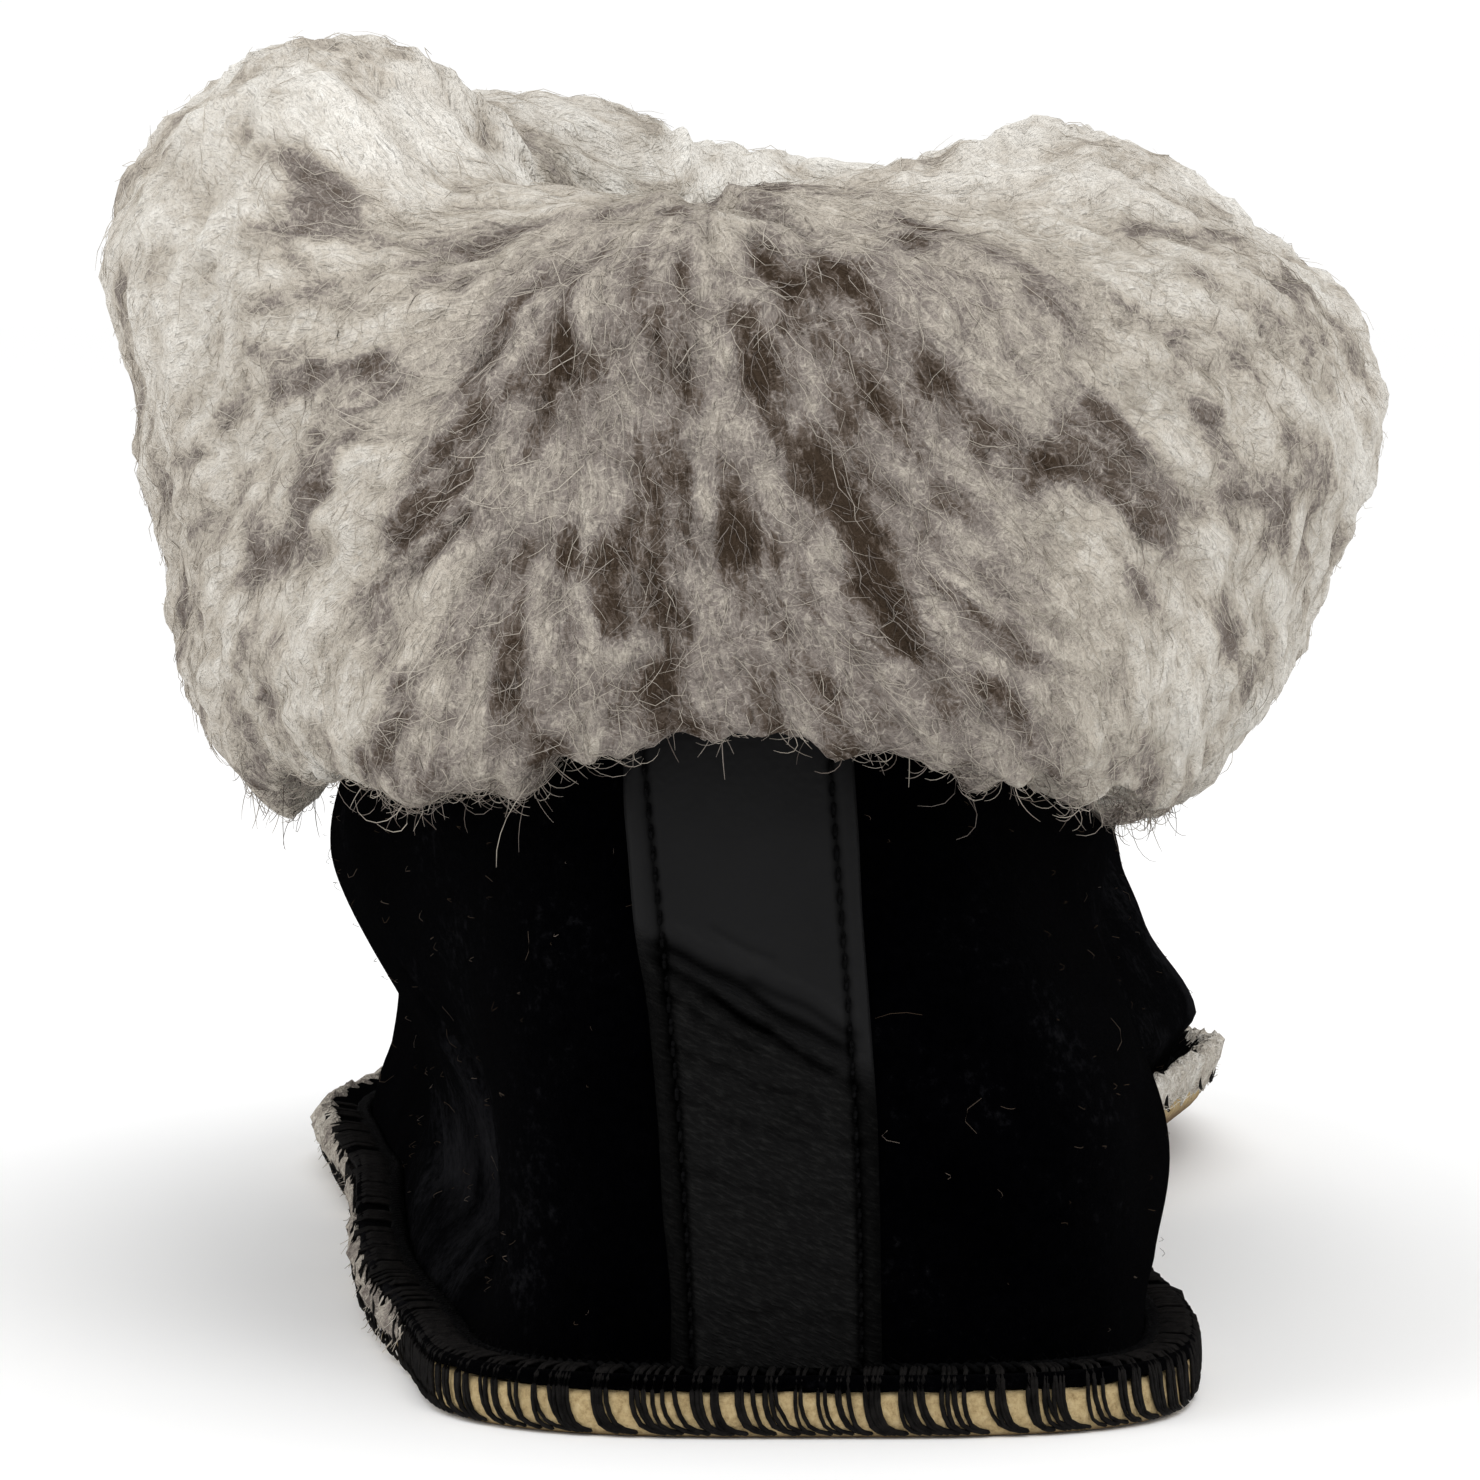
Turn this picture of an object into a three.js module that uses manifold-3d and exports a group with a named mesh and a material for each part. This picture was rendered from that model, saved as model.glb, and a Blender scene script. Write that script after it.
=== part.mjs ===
// A left sheepskin ankle slipper. The upper is black suede, wool side in, with its lower margin
// turned out over a tan leather sole; a smooth leather strip covers the back seam, and the top of
// the shaft is folded down as a deep fleece cuff.
// Millimetres, +Z up, +Y to the toe, +X to the inner side of the foot. The origin is on the floor
// under the middle of the heel.
import * as THREE from "three";
import Module from "manifold-3d";

const wasm = await Module();
wasm.setup();

// Driving dimensions of the last and the sole.
const FOOT_LENGTH = 252; // outline that the upper stands on, heel to toe
const BALL_WIDTH = 93; // the same outline across the ball
const HEEL_CENTRE = 35; // from the outline's back to the origin
const ARCH_LIFT = 1.5; // rise of the sole under the waist
const TOE_SPRING = 9; // rise of the sole at the toe
const SOLE_LEATHER = 2.4; // thickness of the sole under the foot
const SOLE_EDGE = 4.3; // height of the sole's cut edge
const SEAM_WIDTH = 5; // margin of the upper turned out over the sole
const SEAM_SKIN = 1.3; // thickness of that margin, pared for sewing
const SEAM_DIP = 0.8; // how much lower the margin lies at the upper than at its edge
const EDGE_ROUND = 1.4; // rounding of the sole's lower corner
const FOOTBED_THICKNESS = 8;

// Driving dimensions of the upper and the strip on its back seam.
const SKIN = 1.8;
const SHAFT_HEIGHT = 101; // floor to the shaft's top edge
const SHAFT_LENGTH = 105; // shaft's opening, back to front, outside
const SHAFT_WIDTH = 72; // shaft's opening, side to side, outside
const SHAFT_LEAN = 5.6; // how far the shaft leans to the outer side
const SHAFT_SETBACK = 3; // shaft's back ahead of the outline's back
const STRIP_WIDTH = 21.5; // at the shaft's top
const STRIP_FOOT_WIDTH = 19.5; // at the sole
const STRIP_LEATHER = 1.2;

// Driving dimensions of the cuff.
const CUFF_PROUD = 24; // how far its fleece stands off the shaft
const CUFF_RISE = 22; // highest point of its fold above the shaft's top edge
const CUFF_FALL = 44; // fold-down below the shaft's top edge
const LINING_PILE = 9; // fleece standing in from the shaft's wall
const LINING_FALL = 30; // how deep the cuff's own fleece goes inside the shaft
const LOCK_LENGTH = 26;
const LOCK_WIDTH = 16;
const LOCK_RISE = 4.5; // how far a lock stands out of the fleece

const CLEARANCE = 0.3; // between pieces that touch
const STATIONS = 26; // stations along each side of the foot
const TURN = 2 * Math.PI;
const DEGREE = Math.PI / 180;

// Half-widths of the outline as shares of the ball's width, at shares of the length, before the
// heel and the toe are rounded; "axis" moves the middle to the inner side. "outerCurl" and
// "innerCurl" are the millimetres by which the sole's edge curls up.
const OUTLINE = [
  { along: 0.0, outer: 0.275, inner: 0.348, axis: 0, outerCurl: 0, innerCurl: 0 },
  { along: 0.12, outer: 0.327, inner: 0.377, axis: 0, outerCurl: 0, innerCurl: 0.3 },
  { along: 0.24, outer: 0.385, inner: 0.335, axis: 0, outerCurl: 0.6, innerCurl: 1.2 },
  { along: 0.36, outer: 0.415, inner: 0.285, axis: 0, outerCurl: 1, innerCurl: 2.6 },
  { along: 0.48, outer: 0.435, inner: 0.31, axis: 0, outerCurl: 1.4, innerCurl: 4.8 },
  { along: 0.6, outer: 0.48, inner: 0.415, axis: 0.005, outerCurl: 1.5, innerCurl: 7.5 },
  { along: 0.7, outer: 0.515, inner: 0.482, axis: 0.015, outerCurl: 1.5, innerCurl: 8 },
  { along: 0.8, outer: 0.472, inner: 0.47, axis: 0.03, outerCurl: 1.5, innerCurl: 5.5 },
  { along: 0.9, outer: 0.44, inner: 0.435, axis: 0.05, outerCurl: 1.5, innerCurl: 3 },
  { along: 1.0, outer: 0.42, inner: 0.41, axis: 0.065, outerCurl: 1.5, innerCurl: 1.5 },
];
const HEEL_ROUND = { inner: { reach: 0.08, corner: 3.8 }, outer: { reach: 0.07, corner: 3 } };
const TOE_ROUND = { reach: 0.22, corner: 2.25 };

// The upper's ribs, from the sole to the shaft's top: how much of the height each level has, and
// how much of the way in plan from the outline to the shaft's oval, on the heel's rib and the toe's.
const RIBS = [
  { level: 0.0, heelRise: 0.0, heelReach: 0.0, toeRise: 0.0, toeReach: 0.0 },
  { level: 0.09, heelRise: 0.08, heelReach: 0.03, toeRise: 0.1, toeReach: -0.012 },
  { level: 0.18, heelRise: 0.165, heelReach: 0.08, toeRise: 0.215, toeReach: 0.002 },
  { level: 0.27, heelRise: 0.25, heelReach: 0.16, toeRise: 0.31, toeReach: 0.05 },
  { level: 0.36, heelRise: 0.34, heelReach: 0.28, toeRise: 0.378, toeReach: 0.145 },
  { level: 0.45, heelRise: 0.43, heelReach: 0.42, toeRise: 0.43, toeReach: 0.29 },
  { level: 0.54, heelRise: 0.52, heelReach: 0.56, toeRise: 0.49, toeReach: 0.445 },
  { level: 0.63, heelRise: 0.61, heelReach: 0.69, toeRise: 0.565, toeReach: 0.6 },
  { level: 0.72, heelRise: 0.705, heelReach: 0.8, toeRise: 0.66, toeReach: 0.74 },
  { level: 0.81, heelRise: 0.8, heelReach: 0.89, toeRise: 0.765, toeReach: 0.865 },
  { level: 0.905, heelRise: 0.9, heelReach: 0.95, toeRise: 0.88, toeReach: 0.955 },
  { level: 1.0, heelRise: 1.0, heelReach: 1.0, toeRise: 1.0, toeReach: 1.0 },
];

// Soft dents and swellings of the empty upper: where each lies, as degrees round from the back to
// the inner side and as a share of the height, how far it spreads, and its push out as a share of
// the shaft's width.
const SLOUCH = [
  { turn: 66, level: 0.19, turnSpread: 36, levelSpread: 0.17, push: 0.1 },
  { turn: 84, level: 0.46, turnSpread: 28, levelSpread: 0.11, push: -0.04 },
  { turn: -46, level: 0.13, turnSpread: 20, levelSpread: 0.17, push: -0.1 },
  { turn: -58, level: 0.6, turnSpread: 36, levelSpread: 0.2, push: 0.035 },
  { turn: -98, level: 0.15, turnSpread: 30, levelSpread: 0.12, push: -0.062 },
  { turn: -84, level: 0.4, turnSpread: 28, levelSpread: 0.15, push: 0.078 },
  { turn: 108, level: 0.08, turnSpread: 24, levelSpread: 0.07, push: 0.072 },
  { turn: 112, level: 0.27, turnSpread: 28, levelSpread: 0.14, push: -0.09 },
  { turn: 0, level: 0.3, turnSpread: 24, levelSpread: 0.2, push: 0.025 },
];

// The cuff round the shaft, by degrees from the back to the inner side: its fold's height, how far
// it stands out and how far it falls, as shares of the three cuff sizes.
const CUFF_ROUND = [
  { turn: 0, rise: 0.5, proud: 0.84, fall: 0.84 },
  { turn: 30, rise: 0.66, proud: 0.9, fall: 0.98 },
  { turn: 52, rise: 0.84, proud: 0.98, fall: 1.06 },
  { turn: 72, rise: 0.76, proud: 1.02, fall: 1.13 },
  { turn: 96, rise: 0.68, proud: 1.0, fall: 1.08 },
  { turn: 130, rise: 0.62, proud: 0.92, fall: 0.9 },
  { turn: 158, rise: 0.68, proud: 0.84, fall: 0.76 },
  { turn: 180, rise: 0.75, proud: 0.8, fall: 0.7 },
  { turn: 212, rise: 1.02, proud: 0.86, fall: 0.8 },
  { turn: 238, rise: 0.88, proud: 0.94, fall: 0.92 },
  { turn: 262, rise: 1.06, proud: 1.0, fall: 0.98 },
  { turn: 288, rise: 1.16, proud: 1.02, fall: 1.0 },
  { turn: 311, rise: 1.12, proud: 0.96, fall: 0.99 },
  { turn: 328, rise: 0.6, proud: 0.9, fall: 0.97 },
  { turn: 360, rise: 0.5, proud: 0.84, fall: 0.84 },
];

// The cuff's section, from its foot outside (at 0) over the fold (at 1): "up" is a share of the
// rise where positive and of the fall where negative; "outer" and "inner" are the shares of how
// far it stands out, on the foot's two sides.
const CUFF_OUTSIDE = [
  { at: 0.0, up: -0.94, outer: 0.18, inner: 0.2 },
  { at: 0.08, up: -1.0, outer: 0.46, inner: 0.52 },
  { at: 0.17, up: -0.91, outer: 0.66, inner: 0.78 },
  { at: 0.29, up: -0.75, outer: 0.76, inner: 0.97 },
  { at: 0.41, up: -0.53, outer: 0.81, inner: 1.1 },
  { at: 0.53, up: -0.28, outer: 0.85, inner: 1.2 },
  { at: 0.65, up: -0.02, outer: 0.9, inner: 1.14 },
  { at: 0.76, up: 0.24, outer: 0.94, inner: 0.98 },
  { at: 0.86, up: 0.62, outer: 0.8, inner: 0.66 },
  { at: 0.94, up: 0.92, outer: 0.5, inner: 0.3 },
  { at: 1.0, up: 1.0, outer: 0.1, inner: 0.02 },
];
// The same inside the shaft: "down" is a share of the lining's fall below the shaft's top edge,
// where negative a share of the rise, and "in" a share of the lining's pile.
const CUFF_INSIDE = [
  { down: -0.8, in: 0.5 },
  { down: -0.38, in: 0.92 },
  { down: 0.15, in: 1.05 },
  { down: 0.6, in: 1.0 },
  { down: 1.0, in: 0.7 },
];

// The cuff's locks, row by row: how many stand round the shaft, where on the section they start,
// their size as a share of a lock's, and how far one row is turned against the last.
const LOCK_ROWS = [
  { count: 16, at: 0.26, size: 0.85, offset: 0.0 },
  { count: 14, at: 0.5, size: 1.0, offset: 0.5 },
  { count: 12, at: 0.8, size: 0.95, offset: 0.2 },
];

// A smooth curve through one column of a table, by one of its other columns.
function read(table, by, column, at) {
  const last = table.length - 1;
  if (at <= table[0][by]) return table[0][column];
  if (at >= table[last][by]) return table[last][column];
  let i = 0;
  while (table[i + 1][by] < at) i++;
  const slope = (a, b) => (table[b][column] - table[a][column]) / (table[b][by] - table[a][by]);
  const width = table[i + 1][by] - table[i][by];
  const start = i > 0 ? slope(i - 1, i + 1) : slope(i, i + 1);
  const end = i + 1 < last ? slope(i, i + 2) : slope(i, i + 1);
  const t = (at - table[i][by]) / width;
  return (
    table[i][column] * (1 + 2 * t) * (1 - t) ** 2 +
    table[i + 1][column] * t * t * (3 - 2 * t) +
    width * (start * t * (1 - t) ** 2 - end * t * t * (1 - t))
  );
}

const mix = (a, b, share) => a + (b - a) * share;
const alongFoot = (turn) => (1 - Math.cos(turn)) / 2;
const smoothStep = (t) => t * t * (3 - 2 * t);

// 1 away from an end of the foot, falling to 0 at it as a quarter of a superellipse.
function rounded(share, { reach, corner }) {
  if (share >= reach) return 1;
  return (1 - (1 - share / reach) ** corner) ** (1 / corner);
}

// The outline in plan. A turn of 0 is the heel's back, a quarter the inner side, a half the toe.
function outline(turn) {
  const along = alongFoot(turn);
  const side = Math.sin(turn) >= 0 ? "inner" : "outer";
  const half =
    read(OUTLINE, "along", side, along) *
    rounded(along, HEEL_ROUND[side]) *
    rounded(1 - along, TOE_ROUND);
  const middle = read(OUTLINE, "along", "axis", along);
  return new THREE.Vector2(
    BALL_WIDTH * (middle + (side === "inner" ? half : -half)),
    FOOT_LENGTH * along - HEEL_CENTRE,
  );
}

// The outline moved outwards in plan.
function outlineAt(turn, out) {
  const step = 0.02;
  const ahead = outline(turn + step).sub(outline(turn - step)).normalize();
  return outline(turn).add(new THREE.Vector2(ahead.y, -ahead.x).multiplyScalar(out));
}

// Height of the sole's underside: flat under the heel and the ball, raised at the waist and the toe.
const WAIST = { from: 0.28, to: 0.54 };
const SPRING = { from: 0.76, power: 1.7 };
function lift(along) {
  let height = 0;
  if (along > WAIST.from && along < WAIST.to) {
    const t = (along - WAIST.from) / (WAIST.to - WAIST.from);
    height = ARCH_LIFT * smoothStep(1 - Math.abs(2 * t - 1));
  }
  if (along > SPRING.from)
    height = TOE_SPRING * ((along - SPRING.from) / (1 - SPRING.from)) ** SPRING.power;
  return height;
}

// How much the sole has curled up at a distance from the outline.
const CURL_REACH = 11;
function curl(turn, out) {
  const column = Math.sin(turn) >= 0 ? "innerCurl" : "outerCurl";
  const share = Math.max(0, out + CURL_REACH) / (CURL_REACH + SEAM_WIDTH);
  return read(OUTLINE, "along", column, alongFoot(turn)) * share ** 2;
}

const seamUnderside = SOLE_EDGE + CLEARANCE;
const upperFoot = seamUnderside - SEAM_DIP + SEAM_SKIN; // outside of the upper where it turns out

// Height of a rib of the upper at a level.
function upperHeight(turn, level) {
  const along = alongFoot(turn);
  const rise = mix(
    read(RIBS, "level", "heelRise", level),
    read(RIBS, "level", "toeRise", level),
    along,
  );
  return mix(lift(along) + curl(turn, 0) + upperFoot, SHAFT_HEIGHT, rise);
}

// A point on the upper's outer face: turn round the foot, level from the sole (0) to the top (1).
function upper(turn, level) {
  const along = alongFoot(turn);
  const from = outline(turn);
  const to = new THREE.Vector2(
    -SHAFT_LEAN + (SHAFT_WIDTH / 2) * Math.sin(turn),
    SHAFT_SETBACK - HEEL_CENTRE + (SHAFT_LENGTH / 2) * (1 - Math.cos(turn)),
  );
  const reach = mix(
    read(RIBS, "level", "heelReach", level),
    read(RIBS, "level", "toeReach", level),
    along,
  );
  const place = from.lerp(to, reach);
  for (const soft of SLOUCH) {
    const round = Math.atan2(Math.sin(turn - soft.turn * DEGREE), Math.cos(turn - soft.turn * DEGREE));
    const far = (round / (soft.turnSpread * DEGREE)) ** 2 + ((level - soft.level) / soft.levelSpread) ** 2;
    const push = soft.push * SHAFT_WIDTH * Math.exp(-far) * Math.min(1, level / 0.08);
    place.x += push * Math.sin(turn);
    place.y -= push * Math.cos(turn);
  }
  return new THREE.Vector3(place.x, place.y, upperHeight(turn, level));
}

// The upper's outward direction at that point.
function upperOut(turn, level) {
  const step = 0.012;
  const low = Math.max(0, level - step);
  const high = Math.min(1, level + step);
  const round = upper(turn + step, level).sub(upper(turn - step, level));
  const up = upper(turn, high).sub(upper(turn, low));
  return round.cross(up).normalize();
}

// A point at a distance off the upper's outer face, inwards where negative.
const offUpper = (turn, level, out) =>
  upper(turn, level).add(upperOut(turn, level).multiplyScalar(out));

// One point of a ring for each station, all round the foot.
const ring = (place) =>
  Array.from({ length: 2 * STATIONS }, (_, i) => place((i / (2 * STATIONS)) * TURN));

// A ring that follows the outline at a distance, with its height above the sole's underside.
const outlineRing = (out, height) =>
  ring((turn) => {
    const at = outlineAt(turn, out);
    return new THREE.Vector3(at.x, at.y, lift(alongFoot(turn)) + curl(turn, out) + height);
  });

// A closed mesh from vertices and faces, its faces turned outwards.
function closedMesh(points, faces) {
  const volume = faces.reduce((sum, [a, b, c]) => {
    const cross = new THREE.Vector3().crossVectors(points[b], points[c]);
    return sum + points[a].dot(cross);
  }, 0);
  const outwards = volume < 0 ? faces.map(([a, b, c]) => [a, c, b]) : faces;
  return new wasm.Manifold(
    new wasm.Mesh({
      numProp: 3,
      vertProperties: new Float32Array(points.flatMap((p) => [p.x, p.y, p.z])),
      triVerts: new Uint32Array(outwards.flat()),
    }),
  );
}

// Two triangles for each cell between neighbouring rings.
function ringFaces(count, size, join) {
  const faces = [];
  for (let j = 0; j < (join ? count : count - 1); j++) {
    const next = (j + 1) % count;
    for (let i = 0; i < size; i++) {
      const k = (i + 1) % size;
      faces.push([j * size + i, j * size + k, next * size + k]);
      faces.push([j * size + i, next * size + k, next * size + i]);
    }
  }
  return faces;
}

// A hollow band: rings that return to the first one.
const band = (rings) => closedMesh(rings.flat(), ringFaces(rings.length, rings[0].length, true));

// A slab: rings from its lower face to its upper one, each closed across by rungs between the
// stations of the inner side and those of the outer side.
function slab(rings) {
  const size = rings[0].length;
  const faces = ringFaces(rings.length, size, false);
  const last = (rings.length - 1) * size;
  for (let i = 0; i < size / 2; i++) {
    const back = (size - i) % size;
    const backNext = size - i - 1;
    if (i !== back) {
      faces.push([back, i + 1, i]);
      faces.push([last + back, last + i, last + i + 1]);
    }
    if (i + 1 !== backNext) {
      faces.push([back, backNext, i + 1]);
      faces.push([last + back, last + i + 1, last + backNext]);
    }
  }
  return closedMesh(rings.flat(), faces);
}

// The upper: turned-out margin, outer wall, top edge, inner wall.
function makeUpper() {
  const levels = RIBS.map((row) => row.level);
  const wall = levels.map((level) => ring((turn) => upper(turn, level)));
  const lining = levels.slice(1).map((level) => ring((turn) => offUpper(turn, level, -SKIN)));
  const margin = [
    outlineRing(SEAM_WIDTH * 0.5, seamUnderside - SEAM_DIP * 0.5 + SEAM_SKIN),
    outlineRing(SEAM_WIDTH, seamUnderside + SEAM_SKIN),
    outlineRing(SEAM_WIDTH, seamUnderside),
    outlineRing(SEAM_WIDTH * 0.5, seamUnderside - SEAM_DIP * 0.5),
    outlineRing(0, seamUnderside - SEAM_DIP),
    outlineRing(-SKIN, seamUnderside - SEAM_DIP),
  ];
  return band([...wall.reverse(), ...margin, ...lining]);
}

// The outsole: underside, rounded lower corner, cut edge, rim under the margin, floor for the footbed.
function makeOutsole() {
  const rimInner = -SKIN;
  return slab([
    outlineRing(-CURL_REACH, 0),
    outlineRing(-CURL_REACH / 3, 0),
    outlineRing(SEAM_WIDTH - EDGE_ROUND, 0),
    outlineRing(SEAM_WIDTH - EDGE_ROUND * 0.3, EDGE_ROUND * 0.3),
    outlineRing(SEAM_WIDTH, EDGE_ROUND),
    outlineRing(SEAM_WIDTH, SOLE_EDGE),
    outlineRing(SEAM_WIDTH * 0.5, SOLE_EDGE - SEAM_DIP * 0.5),
    outlineRing(0, SOLE_EDGE - SEAM_DIP),
    outlineRing(rimInner, SOLE_EDGE - SEAM_DIP),
    outlineRing(rimInner - CLEARANCE, SOLE_LEATHER),
    outlineRing(-CURL_REACH / 2, SOLE_LEATHER),
    outlineRing(-CURL_REACH, SOLE_LEATHER),
  ]);
}

// The footbed, inside the upper's wall all round.
function makeFootbed() {
  const bottom = SOLE_LEATHER + CLEARANCE;
  const top = bottom + FOOTBED_THICKNESS;
  const inset = SKIN + CLEARANCE * 3;
  const side = (out, height, reach) =>
    ring((turn) => {
      const z = lift(alongFoot(turn)) + curl(turn, reach) + height;
      const at = offUpper(turn, Math.max(0.01, levelAt(turn, z)), -out);
      at.z = z;
      return at;
    });
  const bed = slab([
    outlineRing(-CURL_REACH, bottom),
    side(inset + 1.5, bottom, -inset - 0.8),
    side(inset, bottom + FOOTBED_THICKNESS * 0.4, -inset),
    side(inset + 0.6, top - 1.4, -inset),
    side(inset + 3, top, -inset),
    outlineRing(-CURL_REACH * 1.3, top),
  ]);
  return bed.subtract(wallRoom(0));
}

// The strip over the back seam: it lies on the upper's own facets, in rows at the ribs' levels.
const STRIP_FOOT = 0.012; // level of its lower end
const STRIP_TOP = 0.905; // level of its upper end, under the cuff
const STRIP_COLUMNS = 6;
const STRIP_OFF = CLEARANCE * 1.5; // off the upper, whose facets cross the strip's
function onHeel(across, level) {
  const turnOf = (i) => (Math.sign(across) || 1) * i * (Math.PI / STATIONS);
  const middle = upper(0, level).x;
  let i = 1;
  while (Math.abs(upper(turnOf(i), level).x - middle) < Math.abs(across)) i++;
  const from = upper(turnOf(i - 1), level);
  const to = upper(turnOf(i), level);
  return from.lerp(to, (middle + across - from.x) / (to.x - from.x));
}
function makeStrip() {
  const levels = [STRIP_FOOT, ...RIBS.map((row) => row.level).slice(1, -1)];
  const points = [];
  for (const level of levels) {
    const width = mix(STRIP_FOOT_WIDTH, STRIP_WIDTH, level);
    for (const out of [STRIP_OFF, STRIP_OFF + STRIP_LEATHER])
      for (let i = 0; i <= STRIP_COLUMNS; i++) {
        const across = width * (i / STRIP_COLUMNS - 0.5);
        const at = onHeel(across, level).add(upperOut(0, level).multiplyScalar(out));
        points.push(at);
      }
  }
  const row = STRIP_COLUMNS + 1;
  const at = (j, out, i) => j * 2 * row + out * row + i;
  const faces = [];
  const cell = (a, b, c, d) => faces.push([a, b, c], [a, c, d]);
  for (let j = 0; j + 1 < levels.length; j++) {
    for (let i = 0; i < STRIP_COLUMNS; i++) {
      cell(at(j, 1, i), at(j, 1, i + 1), at(j + 1, 1, i + 1), at(j + 1, 1, i));
      cell(at(j, 0, i + 1), at(j, 0, i), at(j + 1, 0, i), at(j + 1, 0, i + 1));
    }
    cell(at(j, 0, 0), at(j, 1, 0), at(j + 1, 1, 0), at(j + 1, 0, 0));
    cell(at(j, 1, row - 1), at(j, 0, row - 1), at(j + 1, 0, row - 1), at(j + 1, 1, row - 1));
  }
  const top = levels.length - 1;
  for (let i = 0; i < STRIP_COLUMNS; i++) {
    cell(at(0, 0, i), at(0, 0, i + 1), at(0, 1, i + 1), at(0, 1, i));
    cell(at(top, 1, i), at(top, 1, i + 1), at(top, 0, i + 1), at(top, 0, i));
  }
  return closedMesh(points, faces);
}

// Away from the shaft, level, at a turn.
const shaftOut = (turn) =>
  new THREE.Vector3(Math.sin(turn) / SHAFT_WIDTH, -Math.cos(turn) / SHAFT_LENGTH, 0).normalize();

// The level of the upper that has a given height, at a turn.
function levelAt(turn, height) {
  let low = 0;
  let high = 1;
  for (let i = 0; i < 16; i++) {
    const middle = (low + high) / 2;
    if (upperHeight(turn, middle) < height) low = middle;
    else high = middle;
  }
  return (low + high) / 2;
}

const cuffSize = (turn, column) =>
  read(CUFF_ROUND, "turn", column, (((turn / DEGREE) % 360) + 360) % 360);

// A point on the cuff's outside, by turn and place on its section. Below the section's lowest
// point it goes on down beside the upper, for the tips that hang there.
const SECTION_LENGTH = 78; // along the outside, from foot to fold
const LOWEST = 0.1; // the section's lowest point
function cuffOutside(turn, at) {
  const below = Math.max(0, LOWEST - at) * SECTION_LENGTH * cuffSize(turn, "fall");
  return cuffPoint(turn, Math.max(LOWEST, at), below);
}
function cuffPoint(turn, at, below) {
  const up = read(CUFF_OUTSIDE, "at", "up", at);
  const share = (1 + Math.sin(turn)) / 2;
  const out = mix(
    read(CUFF_OUTSIDE, "at", "outer", at),
    read(CUFF_OUTSIDE, "at", "inner", at),
    share,
  );
  const span = up > 0 ? CUFF_RISE * cuffSize(turn, "rise") : CUFF_FALL * cuffSize(turn, "fall");
  const height = up * span - below;
  const level = up > 0 ? 1 : levelAt(turn, SHAFT_HEIGHT + height);
  const place = upper(turn, level).add(
    shaftOut(turn).multiplyScalar(out * CUFF_PROUD * cuffSize(turn, "proud")),
  );
  place.z = SHAFT_HEIGHT + height;
  return place;
}

function cuffInside(turn, row) {
  const span = row.down > 0 ? LINING_FALL : CUFF_RISE * cuffSize(turn, "rise");
  const height = SHAFT_HEIGHT - row.down * span;
  const level = row.down > 0 ? levelAt(turn, height) : 1;
  const place = upper(turn, level).add(
    shaftOut(turn).multiplyScalar(-SKIN - CLEARANCE - row.in * LINING_PILE),
  );
  place.z = height;
  return place;
}

// The room that the upper's wall takes inside another piece, wider where the strip is.
function wallRoom(lowest) {
  const wide = STRIP_OFF + STRIP_LEATHER + CLEARANCE;
  const outside = (turn, level) => {
    const across = Math.abs(upper(turn, level).x - upper(0, level).x);
    const back = Math.cos(turn) > 0 && across < STRIP_WIDTH * 0.73;
    return offUpper(turn, level, back ? wide : CLEARANCE);
  };
  const inside = (turn, level) => offUpper(turn, level, -SKIN - CLEARANCE);
  const levels = RIBS.map((row) => row.level).filter((level) => level >= lowest);
  const above = (place) => place.setZ(SHAFT_HEIGHT + CLEARANCE);
  const foot = lowest > 0 ? [] : [outlineRing(-SKIN - CLEARANCE, seamUnderside - SEAM_DIP)];
  return band([
    ring((turn) => above(outside(turn, 1))),
    ...[...levels].reverse().map((level) => ring((turn) => outside(turn, level))),
    ...foot,
    ...levels.filter((level) => level > 0).map((level) => ring((turn) => inside(turn, level))),
    ring((turn) => above(inside(turn, 1))),
  ]);
}

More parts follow.
